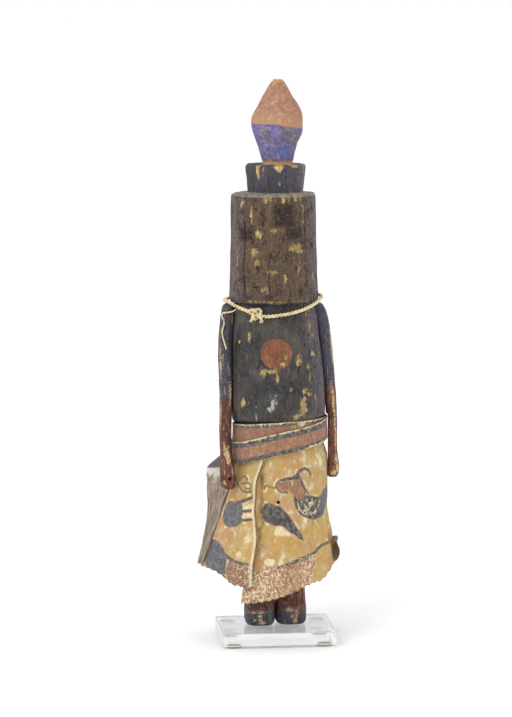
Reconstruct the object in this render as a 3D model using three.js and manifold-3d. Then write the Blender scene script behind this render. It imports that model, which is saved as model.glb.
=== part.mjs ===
// Carved wooden doll in a painted hide kilt, standing on its clear plate.
// Millimetres, +Z up. The doll faces -Y, and its left and right are the viewer's.
// Heights of the doll are measured from its soles, which stand on the plate.
import * as THREE from "three";
import { mergeVertices } from "three/addons/utils/BufferGeometryUtils.js";
import Module from "manifold-3d";

const wasm = await Module();
wasm.setup();

// Driving dimensions
const CLEARANCE = 0.3;
const PLATE = { width: 80, depth: 60, thickness: 9, corner: 1.2, bevel: 0.5, forward: 4 };
const PAD = { diameter: 11.5, height: 2, inset: 8, sides: 24 };
const SOLE = PAD.height + PLATE.thickness;
const CORD = { diameter: 2.4, sides: 8, steps: 42, endSteps: 5 };
const THREAD = { diameter: 1, sides: 8, steps: 15 };
const HIDE = { kilt: 1, belt: 0.8, pelt: 1.4 };
const BELT = { width: 15, steps: 64, lean: 0.5, seat: 130, low: 112, high: 150 };
const SECOND_TURN = { from: 120, to: 240, lift: 1.45 };
const SEGMENTS = { body: 36, leg: 22, arm: 16, finial: 24, kilt: 56, pelt: 18 };

// Body sections, each [height, centre x, half width, half depth], from the hips up to the neck.
// The waist is cut in under the belt, along a line that leans up to the right by a fifth number.
const TORSO = [
  [62, 0.4, 25, 23],
  [72, 0.8, 29, 26.5],
  [100, 2.2, 29.6, 27],
  [130, 2.6, 30, 27.2],
  [146.9, 2.6, 30, 27.2, 0.04],
  [148.4, 2.45, 32.6, 29.4, 0.04],
  [170, 1.8, 32.9, 29.8],
  [192, 0.9, 31.9, 29.8],
  [210, 0, 30.4, 29],
  [222, -0.5, 29, 28],
  [229, -0.8, 27.6, 26.8],
  [234, -0.8, 27, 26.4],
];

// The case mask is a slightly tapering cylinder whose rim stands out over the neck
const MASK = [
  [229.6, -0.8, 29.6, 29.2],
  [230.4, -0.8, 30.7, 30.4],
  [238, -0.9, 30.7, 30.4],
  [268, -1.1, 30.1, 29.9],
  [301.5, -1.35, 29.5, 29.3],
  [303.7, -1.35, 29.3, 29.1],
  [304.4, -1.3, 28.5, 28.3],
];
const MASK_LEAN = 0.014;

const KNOB = [
  [303, 0.1, 18.8, 18.8],
  [306.5, 0.1, 19.5, 19.5],
  [315, 0.1, 20, 20],
  [322, 0.15, 20.8, 20.8],
  [323.8, 0.2, 20.6, 20.6],
  [324.8, 0.2, 19.6, 19.6],
];

// The finial is a four-sided bulb, its corners to the front, back and sides
const FINIAL_POWER = 1.55;
const FINIAL = [
  [323, 1.4, 10.4, 10.4],
  [327, 1.45, 11, 11],
  [337.8, 1.3, 13.8, 13.6],
  [346, 1.8, 17.2, 16.6],
  [352, 1.3, 18.1, 17.4],
  [357.9, 1.5, 17.7, 17],
  [363.4, 2, 15.4, 14.8],
  [371.7, 1.4, 10.6, 10.4],
  [377.5, 1.7, 7.2, 7],
  [382.4, 1.9, 4, 3.8],
  [383.4, 1.9, 3.3, 3.1],
];

// Each leg is [height, half width, half depth, centre y]: a blunt foot, an ankle and a thigh.
// The two stand close, each with its own factor for the width.
const LEG_POWER = 2.9;
const LEG = [
  [0, 8.9, 11.6, -1.2],
  [1.2, 9.6, 12.4, -1.2],
  [7, 9.9, 12.8, -1.2],
  [13, 9.8, 12.2, -0.7],
  [19, 9.5, 10.6, 0.6],
  [27, 9.4, 9.8, 1],
  [45, 10.3, 11, 0.4],
  [75, 11, 12.4, 0],
];
const LEGS = [
  { x: -11.2, forward: 1.2, wide: 1.09 },
  { x: 10.9, forward: -1, wide: 1.13 },
];

// Arm sections, each [height, centre x, centre y, half width, half depth], shoulder to fist
const ARM_POWER = 2.3;
const LEFT_ARM = [
  [228, -31.6, 0.6, 2.6, 4],
  [226.6, -32.4, 0.2, 4.2, 5.8],
  [221, -33.2, -0.4, 5, 6.6],
  [205, -34.6, -1.2, 5.2, 6.8],
  [190, -35.1, -1.8, 5.1, 6.6],
  [175, -34.9, -3, 4.9, 6.2],
  [158, -35, -4.6, 4.6, 5.8],
  [140, -35.8, -8, 4.4, 5.2],
  [126, -35.8, -11.6, 4.2, 4.9],
  [120, -35.4, -13.6, 4.6, 5.2],
  [112, -35.2, -15.6, 5.3, 5.8],
  [105, -34.8, -16.6, 5.4, 5.8],
  [101, -34.4, -17, 4.4, 4.8],
  [99.6, -34.2, -17, 2.8, 3.2],
];
const RIGHT_ARM = [
  [228.6, 28.4, -1.2, 2.4, 3.8],
  [227, 29.2, -1.4, 4, 5.6],
  [221, 31.4, -1.8, 4.8, 6.4],
  [205, 34.3, -2.4, 4.8, 6.6],
  [190, 36, -2.8, 4.6, 6.4],
  [175, 37.4, -3.2, 4.4, 6],
  [158, 38.9, -3.6, 4, 5.4],
  [140, 39.7, -4, 3.7, 5],
  [124, 40, -4.4, 3.6, 4.8],
  [117, 40.4, -4.6, 4.2, 5.2],
  [111, 40.5, -4.6, 4.6, 5.5],
  [107, 40.3, -4.6, 4.2, 5],
  [105, 40.2, -4.6, 2.8, 3.4],
];

// The kilt wraps the hips once, from its inner end at the front left round to its outer end there.
// Angles turn about the waist from the front, positive to the right.
const KILT = { centre: 2.6, top: 137, start: -43, end: 330, rows: 11, rounding: 0.16, swell: 1.15 };
// Where the kilt's outer end climbs over its inner end, and where the belt climbs over both
const LAP = { height: 1.5, from: 297, to: 312, beltUp: [-67, -48], beltDown: [-28, -14] };
const KILT_HIPS = { side: 34.2, front: 30.6 };
const KILT_HEM_REACH = [
  [-43, 43], [-20, 41.4], [10, 41], [36, 40.8], [54, 41], [68, 41], [80, 39.4], [100, 40],
  [140, 42], [180, 43.5], [220, 46], [248, 51], [266, 54], [282, 51.4], [304, 45.5], [330, 42.6],
];
const KILT_HEM_HEIGHT = [
  [-43, 21.6], [-23, 23], [0, 28], [17, 32.6], [30, 35.2], [43, 36.6], [53, 42], [62, 48],
  [71, 55.5], [82, 61.5], [105, 56], [140, 47], [180, 42], [230, 43], [270, 42.6], [289, 41],
  [301, 37], [314, 34], [330, 34.4],
];
// Share of the way down at which the flare begins
const KILT_FLARE_FROM = [
  [-43, 0.42], [0, 0.46], [50, 0.52], [80, 0.66], [110, 0.6], [160, 0.42], [262, 0.36], [330, 0.42],
];
const KILT_FOLDS = { count: 7, depth: 0.9, phase: 40 };

// The belt winds from the back left, level across the front, down round the back,
// then up across the front again over its first turn. Each pair is [angle, height of its top edge].
const BELT_PATH = [
  [-150, 142], [-90, 143.2], [-20, 146.8], [30, 148], [90, 147], [180, 139], [256, 130.6],
  [300, 132.5], [345, 139], [390, 143.6], [450, 148], [500, 148.6],
];

// The pelt hangs behind the left hip. Each row is [height, reach from the waist's centre]
// where it stands out most, from its tuck at the belt, over its fold, to its lower end.
const PELT = { start: -93, end: -192, widest: -112, backShare: 0.42 };
const PELT_ROWS = [
  [124, 36.4], [121, 39.4], [117, 43.8], [112.6, 49], [109, 50.6], [98, 49.6],
  [86, 48], [72, 48.4], [58, 49.8], [44.5, 51.8],
];

// The string round the neck, in order from the knot to the right and back to the knot
const KNOT = { x: -17.2, y: -29.6, z: 223.8, width: 4.4, depth: 2.5, height: 3.9 };
const STRING = [
  [-14.5, -30.2, 222.6], [-10, -30, 221.6], [-4, -30.6, 221.9], [3.4, -30.9, 222.9],
  [11, -29.8, 224.4], [18, -26.2, 226.2], [24.6, -20.4, 228.6], [30, -11.6, 231],
  [32.2, -3.4, 232.3], [31.6, 6, 232.4], [27.4, 17, 232], [17, 27, 231.6], [2, 32.4, 231.2],
  [-14, 29.8, 231], [-26, 21, 230.6], [-33, 11, 230], [-35.2, 2.4, 229.9], [-33.6, -7, 229.8],
  [-31.2, -13.6, 228.4], [-27.4, -19.4, 226.8], [-22.8, -24.6, 225.2], [-19, -28.4, 224.2],
];
const STUB = [[-18, -30.4, 223], [-19.4, -31.2, 220.6], [-20.6, -31.4, 218.4]];
const CURL = [
  [-15.6, -30.6, 222.4], [-13.4, -31.6, 220.6], [-12.8, -31.6, 218.8], [-14.2, -31, 217.6],
];

// One loose fibre of the string, hanging down over the left shoulder
const LOOSE = [
  [-29.2, -15.6, 225], [-31, -13.6, 223.7], [-34, -10.6, 222.6], [-36.6, -8.8, 222.2],
  [-38.2, -7.8, 221.2], [-38, -7.8, 219.4], [-37, -8.2, 217.6], [-36.6, -8.6, 214.6],
  [-37.4, -8.6, 211.8], [-38, -8.6, 208.8], [-37.6, -8.8, 205.6], [-36.8, -9, 202.6],
  [-36, -9.2, 199.6], [-35, -9.6, 196.8],
];

// Heights of the rings of the space that the dress takes up beside the arms
const DRESS_RINGS = [80, 90, 100, BELT.low, BELT.low + 2, 125, 135, 142, BELT.high];
const MERGE_WITHIN = 1e-4;

const COLOURS = {
  blackWood: 0x2f2a2b,
  redBrownWood: 0x6b362c,
  hideOchre: 0xc2a05c,
  beltRed: 0x9a6a50,
  fur: 0x8f8272,
  string: 0xd2bd93,
  acrylic: 0xe4ecec,
  pad: 0xcfcabb,
};

const radians = THREE.MathUtils.degToRad;

// Smooth curve through a short table of [x, y] pairs, with the mean slope at each inner pair
function through(table, x) {
  const last = table.length - 1;
  let i = 0;
  while (i < last - 1 && x > table[i + 1][0]) i += 1;
  const slope = (k) => {
    const a = table[Math.max(k - 1, 0)];
    const b = table[Math.min(k + 1, last)];
    return (b[1] - a[1]) / (b[0] - a[0]);
  };
  const [x0, y0] = table[i];
  const [x1, y1] = table[i + 1];
  const span = x1 - x0;
  const t = THREE.MathUtils.clamp((x - x0) / span, 0, 1);
  const rise = t * t * (3 - 2 * t);
  const leave = t * (1 - t) * (1 - t) * slope(i) * span;
  const arrive = t * t * (1 - t) * slope(i + 1) * span;
  return y0 * (1 - rise) + y1 * rise + leave - arrive;
}

// Superellipse in plan: power 2 is an ellipse, more is boxier, less is more of a diamond
function oval({ x, y, z, halfWidth, halfDepth, power = 2, lean = 0 }, segments) {
  const ring = [];
  for (let i = 0; i < segments; i += 1) {
    const angle = (i / segments) * 2 * Math.PI;
    const c = Math.cos(angle);
    const s = Math.sin(angle);
    const across = halfWidth * Math.sign(c) * Math.abs(c) ** (2 / power);
    const along = halfDepth * Math.sign(s) * Math.abs(s) ** (2 / power);
    ring.push([x + across, y + along, z + lean * across]);
  }
  return ring;
}

function meshGeometry(points, triangles) {
  const geometry = new THREE.BufferGeometry();
  geometry.setAttribute("position", new THREE.Float32BufferAttribute(points.flat(), 3));
  geometry.setIndex(triangles);
  return geometry;
}

// Turns the faces outwards if the signed volume says that they point in
function outward(geometry) {
  const position = geometry.attributes.position;
  const index = geometry.index.array;
  const [a, b, c] = [new THREE.Vector3(), new THREE.Vector3(), new THREE.Vector3()];
  let volume = 0;
  for (let i = 0; i < index.length; i += 3) {
    a.fromBufferAttribute(position, index[i]);
    b.fromBufferAttribute(position, index[i + 1]);
    c.fromBufferAttribute(position, index[i + 2]);
    volume += a.dot(b.cross(c));
  }
  if (volume < 0) {
    for (let i = 0; i < index.length; i += 3) {
      [index[i + 1], index[i + 2]] = [index[i + 2], index[i + 1]];
    }
  }
  return geometry;
}

// Closed body through a stack of rings, with a fan over each end
function loft(rings) {
  const count = rings[0].length;
  const points = rings.flat();
  const triangles = [];
  for (let r = 0; r + 1 < rings.length; r += 1) {
    for (let i = 0; i < count; i += 1) {
      const a = r * count + i;
      const b = r * count + ((i + 1) % count);
      triangles.push(a, b, b + count, a, b + count, a + count);
    }
  }
  for (const [r, flip] of [[0, true], [rings.length - 1, false]]) {
    const centre = [0, 1, 2].map((k) => rings[r].reduce((sum, p) => sum + p[k], 0) / count);
    points.push(centre);
    const hub = points.length - 1;
    for (let i = 0; i < count; i += 1) {
      const a = r * count + i;
      const b = r * count + ((i + 1) % count);
      triangles.push(...(flip ? [b, a, hub] : [a, b, hub]));
    }
  }
  return outward(meshGeometry(points, triangles));
}

// Sheet of real thickness: outer and inner grids of columns, joined round all four edges
function sheet(outer, inner) {
  const columns = outer.length;
  const rows = outer[0].length;
  const points = [...outer.flat(), ...inner.flat()];
  const out = (i, j) => i * rows + j;
  const back = (i, j) => columns * rows + i * rows + j;
  const triangles = [];
  const quad = (a, b, c, d) => triangles.push(a, b, c, a, c, d);
  for (let i = 0; i + 1 < columns; i += 1) {
    for (let j = 0; j + 1 < rows; j += 1) {
      quad(out(i, j), out(i, j + 1), out(i + 1, j + 1), out(i + 1, j));
      quad(back(i, j), back(i + 1, j), back(i + 1, j + 1), back(i, j + 1));
    }
    quad(out(i, 0), out(i + 1, 0), back(i + 1, 0), back(i, 0));
    quad(out(i, rows - 1), back(i, rows - 1), back(i + 1, rows - 1), out(i + 1, rows - 1));
  }
  for (let j = 0; j + 1 < rows; j += 1) {
    quad(out(0, j), back(0, j), back(0, j + 1), out(0, j + 1));
    const i = columns - 1;
    quad(out(i, j), out(i, j + 1), back(i, j + 1), back(i, j));
  }
  return outward(meshGeometry(points, triangles));
}

function tube(route, { diameter, sides, steps }) {
  const points = route.map(([x, y, z]) => new THREE.Vector3(x, y, z + SOLE));
  const section = new THREE.Shape();
  section.setFromPoints(
    Array.from({ length: sides }, (_, i) => {
      const angle = (i / sides) * 2 * Math.PI;
      return new THREE.Vector2(Math.cos(angle), Math.sin(angle)).multiplyScalar(diameter / 2);
    }),
  );
  return new THREE.ExtrudeGeometry(section, {
    steps,
    bevelEnabled: false,
    extrudePath: new THREE.CatmullRomCurve3(points, false, "centripetal"),
  });
}

// Booleans, on bodies whose shared corners are merged
function toSolid(geometry) {
  const bare = geometry.clone();
  bare.deleteAttribute("normal");
  bare.deleteAttribute("uv");
  const merged = mergeVertices(bare, MERGE_WITHIN);
  const vertProperties = new Float32Array(merged.attributes.position.array);
  const triVerts = new Uint32Array(merged.index.array);
  return new wasm.Manifold(new wasm.Mesh({ numProp: 3, vertProperties, triVerts }));
}

function fromSolid(solid) {
  const { vertProperties, triVerts } = solid.getMesh();
  const geometry = new THREE.BufferGeometry();
  geometry.setAttribute("position", new THREE.BufferAttribute(new Float32Array(vertProperties), 3));
  geometry.setIndex(new THREE.BufferAttribute(new Uint32Array(triVerts), 1));
  return geometry;
}

const union = (geometries) => fromSolid(geometries.map(toSolid).reduce((a, b) => a.add(b)));
const cut = (geometry, tools) =>
  fromSolid(tools.map(toSolid).reduce((a, b) => a.subtract(b), toSolid(geometry)));

// The figure: trunk, mask, knob, finial and legs, carved from one root
const stack = (rows, segments, { power = 2, lean = 0, grow = 0 } = {}) =>
  loft(
    rows.map(([height, x, halfWidth, halfDepth, ownLean = lean]) =>
      oval(
        {
          x,
          y: 0,
          z: SOLE + height,
          halfWidth: halfWidth + grow,
          halfDepth: halfDepth + grow,
          power,
          lean: ownLean,
        },
        segments,
      ),
    ),
  );

const leg = ({ x, forward, wide }) =>
  loft(
    LEG.map(([height, halfWidth, halfDepth, y]) =>
      oval(
        {
          x,
          y: y - forward,
          z: SOLE + height,
          halfWidth: halfWidth * wide,
          halfDepth,
          power: LEG_POWER,
        },
        SEGMENTS.leg,
      ),
    ),
  );

const carvedFigure = () =>
  union([
    stack(TORSO, SEGMENTS.body),
    stack(MASK, SEGMENTS.body, { lean: MASK_LEAN }),
    stack(KNOB, SEGMENTS.body),
    stack(FINIAL, SEGMENTS.finial, { power: FINIAL_POWER }),
    ...LEGS.map(leg),
  ]);

const arm = (rows) =>
  loft(
    rows.map(([height, x, y, halfWidth, halfDepth]) =>
      oval({ x, y, z: SOLE + height, halfWidth, halfDepth, power: ARM_POWER }, SEGMENTS.arm),
    ),
  );

// Half widths of the trunk at a height, and its reach at an angle from the waist's centre
const column = (rows, index) => rows.map((row) => [row[0], row[index]]);
function trunkReach(height, angle) {
  const halfWidth = through(column(TORSO, 2), height);
  const halfDepth = through(column(TORSO, 3), height);
  const turn = radians(angle);
  return 1 / Math.hypot(Math.sin(turn) / halfWidth, Math.cos(turn) / halfDepth);
}

const place = (angle, reach, height) => [
  KILT.centre + reach * Math.sin(radians(angle)),
  -reach * Math.cos(radians(angle)),
  SOLE + height,
];

// Height of the lowest edge of belt at an angle, whichever turn it belongs to
function beltFoot(angle) {
  const tops = [angle - 360, angle, angle + 360]
    .filter((a) => a >= BELT_PATH[0][0] && a <= BELT_PATH.at(-1)[0])
    .map((a) => through(BELT_PATH, a));
  return Math.min(...tops) - BELT.width;
}

// Reach of the kilt's outer face: it leaves the belt close to the trunk, rounds over the hips,
// then flares in soft folds to the hem. Its outer end climbs over its inner end.
function kiltReach(angle, down) {
  const { smoothstep } = THREE.MathUtils;
  const turn = radians(angle);
  const waist = trunkReach(BELT.seat, angle) + CLEARANCE + HIDE.kilt;
  const hips = 1 / Math.hypot(
    Math.sin(turn) / KILT_HIPS.side,
    Math.cos(turn) / KILT_HIPS.front,
  );
  const from = through(KILT_FLARE_FROM, angle);
  const flare = Math.max(0, (down - from) / (1 - from)) ** KILT.swell;
  const hem = through(KILT_HEM_REACH, angle);
  const foot = (KILT.top - beltFoot(angle)) / (KILT.top - through(KILT_HEM_HEIGHT, angle));
  const upper = THREE.MathUtils.lerp(waist, hips, smoothstep(down, foot, foot + KILT.rounding));
  const folds = KILT_FOLDS.depth * flare * Math.sin(radians(KILT_FOLDS.count * angle + KILT_FOLDS.phase));
  const overlap = LAP.height * smoothstep(angle, LAP.from, LAP.to);
  return THREE.MathUtils.lerp(upper, hem, flare) + folds + overlap;
}

const kiltHeight = (angle, down) =>
  THREE.MathUtils.lerp(KILT.top, through(KILT_HEM_HEIGHT, angle), down);

function kilt() {
  const outer = [];
  const inner = [];
  for (let i = 0; i <= SEGMENTS.kilt; i += 1) {
    const angle = THREE.MathUtils.lerp(KILT.start, KILT.end, i / SEGMENTS.kilt);
    const face = [];
    const lining = [];
    for (let j = 0; j < KILT.rows; j += 1) {
      const down = j / (KILT.rows - 1);
      const reach = kiltReach(angle, down);
      face.push(place(angle, reach, kiltHeight(angle, down)));
      lining.push(place(angle, reach - HIDE.kilt, kiltHeight(angle, down)));
    }
    outer.push(face);
    inner.push(lining);
  }
  return sheet(outer, inner);
}

// Belt: a strip wound over the kilt's top edge, its second turn over its first
// and both over the place where the kilt's ends overlap
function beltReach(angle, lift) {
  const { smoothstep } = THREE.MathUtils;
  const near = THREE.MathUtils.euclideanModulo(angle + 180, 360) - 180;
  const climb = smoothstep(near, ...LAP.beltUp);
  const descend = smoothstep(near, ...LAP.beltDown);
  const lap = LAP.height * (climb - descend);
  return trunkReach(BELT.seat, angle) + HIDE.kilt + 2 * CLEARANCE + lift + lap;
}

// Outermost reach of both turns of belt
const outerBelt = (angle) => beltReach(angle, SECOND_TURN.lift) + BELT.lean + HIDE.belt;

function belt() {
  const outer = [];
  const inner = [];
  const [first, last] = [BELT_PATH[0][0], BELT_PATH.at(-1)[0]];
  for (let i = 0; i <= BELT.steps; i += 1) {
    const angle = THREE.MathUtils.lerp(first, last, i / BELT.steps);
    const lift =
      SECOND_TURN.lift * THREE.MathUtils.smoothstep(angle, SECOND_TURN.from, SECOND_TURN.to);
    const top = through(BELT_PATH, angle);
    const upper = beltReach(angle, lift);
    const lower = upper + BELT.lean;
    outer.push([
      place(angle, upper + HIDE.belt, top),
      place(angle, (upper + lower) / 2 + HIDE.belt, top - BELT.width / 2),
      place(angle, lower + HIDE.belt, top - BELT.width),
    ]);
    inner.push([
      place(angle, upper, top),
      place(angle, (upper + lower) / 2, top - BELT.width / 2),
      place(angle, lower, top - BELT.width),
    ]);
  }
  return sheet(outer, inner);
}

// Space that the dress takes up beside the arms: the kilt's upper part and both turns of belt
function dressRoom() {
  const rings = [];
  const around = SEGMENTS.kilt;
  for (const height of DRESS_RINGS) {
    const ring = [];
    for (let i = 0; i < around; i += 1) {
      const angle = (i / around) * 360;
      const hem = through(KILT_HEM_HEIGHT, Math.min(angle, KILT.end));
      const down = Math.max(0, (KILT.top - height) / (KILT.top - hem));
      const belted = height > BELT.low ? outerBelt(angle) : 0;
      const hipped = height < KILT.top ? kiltReach(Math.min(angle, KILT.end), down) : 0;
      ring.push(place(angle, Math.max(belted, hipped) + CLEARANCE, height));
    }
    rings.push(ring);
  }
  return loft(rings);
}

// Pelt: a flap that springs out from the belt, folds over and hangs, closer in at the back
function pelt() {
  const outer = [];
  const inner = [];
  for (let i = 0; i <= SEGMENTS.pelt; i += 1) {
    const angle = THREE.MathUtils.lerp(PELT.start, PELT.end, i / SEGMENTS.pelt);
    const away = Math.min(1, Math.max(0, (PELT.widest - angle) / (PELT.widest - PELT.end)));
    const share = THREE.MathUtils.lerp(1, PELT.backShare, away * away * (3 - 2 * away));
    const face = [];
    const lining = [];
    for (const [height, widest] of PELT_ROWS) {
      const down = (KILT.top - height) / (KILT.top - through(KILT_HEM_HEIGHT, angle + 360));
      const hip = kiltReach(angle + 360, Math.min(1, Math.max(0, down)));
      const hipAtWidest = kiltReach(PELT.widest + 360, Math.min(1, Math.max(0, down)));
      const belted = outerBelt(angle);
      const under = height > BELT.low ? Math.max(hip, belted) : hip;
      const reach = Math.max(hip + (widest - hipAtWidest) * share, under + HIDE.pelt + CLEARANCE);
      face.push(place(angle, reach, height));
      lining.push(place(angle, reach - HIDE.pelt, height));
    }
    outer.push(face);
    inner.push(lining);
  }
  return sheet(outer, inner);
}

// Neck string: one loop whose ends meet in the knot, with a stub and a small curl
function neckCord() {
  const knot = new THREE.IcosahedronGeometry(1, 1);
  knot.scale(KNOT.width, KNOT.depth, KNOT.height);
  knot.translate(KNOT.x, KNOT.y, KNOT.z + SOLE);
  const short = { ...CORD, steps: CORD.endSteps };
  return union([tube(STRING, CORD), knot, tube(STUB, short), tube(CURL, short)]);
}

function standPlate() {
  const { width, depth, thickness, corner, bevel, forward } = PLATE;
  const [w, d] = [width / 2 - bevel, depth / 2 - bevel];
  const outline = new THREE.Shape();
  outline.moveTo(-w + corner, -d);
  outline.lineTo(w - corner, -d);
  outline.absarc(w - corner, -d + corner, corner, -Math.PI / 2, 0);
  outline.lineTo(w, d - corner);
  outline.absarc(w - corner, d - corner, corner, 0, Math.PI / 2);
  outline.lineTo(-w + corner, d);
  outline.absarc(-w + corner, d - corner, corner, Math.PI / 2, Math.PI);
  outline.lineTo(-w, -d + corner);
  outline.absarc(-w + corner, -d + corner, corner, Math.PI, 1.5 * Math.PI);
  const geometry = new THREE.ExtrudeGeometry(outline, {
    depth: thickness - 2 * bevel,
    bevelThickness: bevel,
    bevelSize: bevel,
    bevelSegments: 1,
    curveSegments: 3,
  });
  return geometry.translate(0, -forward, PAD.height + bevel);
}

function pad(x, y) {
  const geometry = new THREE.CylinderGeometry(
    PAD.diameter / 2,
    PAD.diameter / 2,
    PAD.height,
    PAD.sides,
  );
  geometry.rotateX(Math.PI / 2);
  return geometry.translate(x, y, PAD.height / 2);
}

const doll = new THREE.Group();

function add(name, geometry, color, roughness, extra = {}) {
  const material = new THREE.MeshStandardMaterial({ color, roughness, metalness: 0, ...extra });
  const mesh = new THREE.Mesh(geometry, material);
  mesh.name = name;
  doll.add(mesh);
  return mesh;
}

const trunkRoom = stack(TORSO, SEGMENTS.body, { grow: CLEARANCE });
add("carved_figure", carvedFigure(), COLOURS.blackWood, 0.75);
const beside = [trunkRoom, dressRoom()];
add("left_arm", cut(arm(LEFT_ARM), beside), COLOURS.redBrownWood, 0.7);
add("right_arm", cut(arm(RIGHT_ARM), beside), COLOURS.redBrownWood, 0.7);
add("kilt", kilt(), COLOURS.hideOchre, 0.85);
add("belt", belt(), COLOURS.beltRed, 0.85);
add("back_pelt", pelt(), COLOURS.fur, 0.95);
add("neck_cord", neckCord(), COLOURS.string, 0.9);
add("loose_thread", tube(LOOSE, THREAD), COLOURS.string, 0.9);
add("stand_plate", standPlate(), COLOURS.acrylic, 0.08, { transparent: true, opacity: 0.35 });
const padX = PLATE.width / 2 - PAD.inset;
const padY = PLATE.depth / 2 - PAD.inset;
[
  ["front_left_pad", -padX, -padY],
  ["front_right_pad", padX, -padY],
  ["back_left_pad", -padX, padY],
  ["back_right_pad", padX, padY],
].forEach(([name, x, y]) => add(name, pad(x, y - PLATE.forward), COLOURS.pad, 0.4));

// The origin is on the floor, under the centre of the whole part
doll.updateMatrixWorld(true);
const centre = new THREE.Box3().setFromObject(doll, true).getCenter(new THREE.Vector3());
doll.position.set(-centre.x, -centre.y, 0);

export default doll;
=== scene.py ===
"""Carved wooden doll with a case mask, in a painted hide kilt and belt, on a small clear stand.

The sizes below are millimetres from the doll's own axis and soles, as a carver would mark them:
x to the viewer's right, y away from the viewer and z up. Angles turn about an upright axis from
the front, positive to the right. Every piece is a grid of points worked out with numpy, and is
placed in the frame in metres by one function.
"""

import math

import bpy
import numpy as np
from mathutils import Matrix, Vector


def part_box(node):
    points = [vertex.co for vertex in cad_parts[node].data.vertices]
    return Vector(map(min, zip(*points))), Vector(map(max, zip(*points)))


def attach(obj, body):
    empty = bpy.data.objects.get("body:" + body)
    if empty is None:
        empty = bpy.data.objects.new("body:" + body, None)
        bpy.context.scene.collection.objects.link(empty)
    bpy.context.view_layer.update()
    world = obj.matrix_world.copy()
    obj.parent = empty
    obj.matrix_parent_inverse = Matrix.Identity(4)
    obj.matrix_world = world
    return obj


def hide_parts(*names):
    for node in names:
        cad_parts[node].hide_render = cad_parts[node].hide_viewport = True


bl_info = {
    "name": "Carved Doll in a Painted Kilt",
    "version": (1, 0, 0),
    "blender": (4, 5, 0),
    "location": "View3D > Sidebar > Doll",
    "description": "Builds a carved doll with its kilt, belt, pelt, neck string and clear stand",
    "category": "Add Mesh",
}

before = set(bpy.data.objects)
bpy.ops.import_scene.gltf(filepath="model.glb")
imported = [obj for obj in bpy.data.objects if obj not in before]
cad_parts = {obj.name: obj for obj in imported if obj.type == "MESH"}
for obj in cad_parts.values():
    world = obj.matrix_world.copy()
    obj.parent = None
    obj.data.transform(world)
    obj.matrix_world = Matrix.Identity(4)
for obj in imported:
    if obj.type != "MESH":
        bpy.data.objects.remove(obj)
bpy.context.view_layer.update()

# Frame
MM = 0.001
PLATE_FORWARD = 4
PLATE_LOW, PLATE_HIGH = (np.array(corner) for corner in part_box("stand_plate"))
AXIS = np.append((PLATE_LOW + PLATE_HIGH)[:2] / 2 + [0, PLATE_FORWARD * MM], PLATE_HIGH[2])

# Camera: the picture is 717 pixels tall, and the lens is the photograph's focal length on 36 mm
CAMERA = {"away": 2000, "azimuth": -6.5, "height": 445, "pitch": 7.307, "yaw": 0.382}
LENS = {"focal": 144.6, "sensor": 36}

# Body sections, each [height, centre x, half width, half depth, lean], from the hips to the neck.
# The waist is cut in under the belt along a line that leans up to the right.
TORSO = [
    [62, 0.4, 25, 23, 0],
    [72, 0.8, 29, 26.5, 0],
    [100, 2.2, 29.6, 27, 0],
    [130, 2.6, 30, 27.2, 0],
    [146.9, 2.6, 30, 27.2, 0.04],
    [148.4, 2.45, 32.6, 29.4, 0.04],
    [170, 1.8, 32.9, 29.8, 0],
    [192, 0.9, 31.9, 29.8, 0],
    [210, 0, 30.4, 29, 0],
    [222, -0.5, 29, 28, 0],
    [229, -0.8, 27.6, 26.8, 0],
    [234, -0.8, 27, 26.4, 0],
]
MASK = [
    [229.6, -0.8, 29.6, 29.2, 0.014],
    [230.4, -0.8, 30.7, 30.4, 0.014],
    [238, -0.9, 30.7, 30.4, 0.014],
    [268, -1.1, 30.1, 29.9, 0.014],
    [301.5, -1.35, 29.5, 29.3, 0.014],
    [303.7, -1.35, 29.3, 29.1, 0.014],
    [304.4, -1.3, 28.5, 28.3, 0.014],
]
KNOB = [
    [304.6, 0.1, 18.8, 18.8, 0],
    [306.5, 0.1, 19.5, 19.5, 0],
    [315, 0.1, 20, 20, 0],
    [322, 0.15, 20.8, 20.8, 0],
    [323.8, 0.2, 20.6, 20.6, 0],
    [324.8, 0.2, 19.6, 19.6, 0],
]
FINIAL = [
    [325, 1.4, 10.7, 10.7, 0],
    [327, 1.45, 11, 11, 0],
    [337.8, 1.3, 13.8, 13.6, 0],
    [346, 1.8, 17.2, 16.6, 0],
    [352, 1.3, 18.1, 17.4, 0],
    [357.9, 1.5, 17.7, 17, 0],
    [363.4, 2, 15.4, 14.8, 0],
    [371.7, 1.4, 10.6, 10.4, 0],
    [377.5, 1.7, 7.2, 7, 0],
    [382.4, 1.9, 4, 3.8, 0],
    [383.4, 1.9, 3.3, 3.1, 0],
]
FINIAL_POWER = 1.55
# Columns of the body's grid, closer together up to some degrees either side of the front
BODY_COLUMNS = {"front": 190, "back": 82}
FINE_FRONT = 100
NOMINAL_RADIUS = 30
ZONES = {"trunk": 0, "mask": 1, "knob": 2, "finial": 3, "leg": 4}

# The blade's marks, each kind's (count round the piece, mm along it), drawn about their mean
# level, and deeper on the finial
BLADE_MARKS = {"body": (30, 24), "leg": (15, 11), "arm": (8, 13)}
MARK_LEVEL = 0.4
BODY_SEED = 3
FINIAL_CUT = 1.6
# Long bumps and raised grain, each [height, size, seed, stretch along the wood]
WOOD_WAVES = {
    "bumps": (0.2, 20, 5, 2),
    "body": (0.09, 1.9, 6, 9),
    "leg": (0.08, 1.7, 12, 5),
    "arm": (0.07, 1.6, 23, 7),
}
# Depth of chips and cracks, and from how far outside to how far inside them the wood falls away
CHIP_DEPTH = {"body": 0.25, "leg": 0.25, "arm": 0.2}
CHIP_EDGE = (-0.3, 0.5)
CRACK_DEPTH = 0.55
CRACK_EDGE = (-0.5, 0.25)
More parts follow.
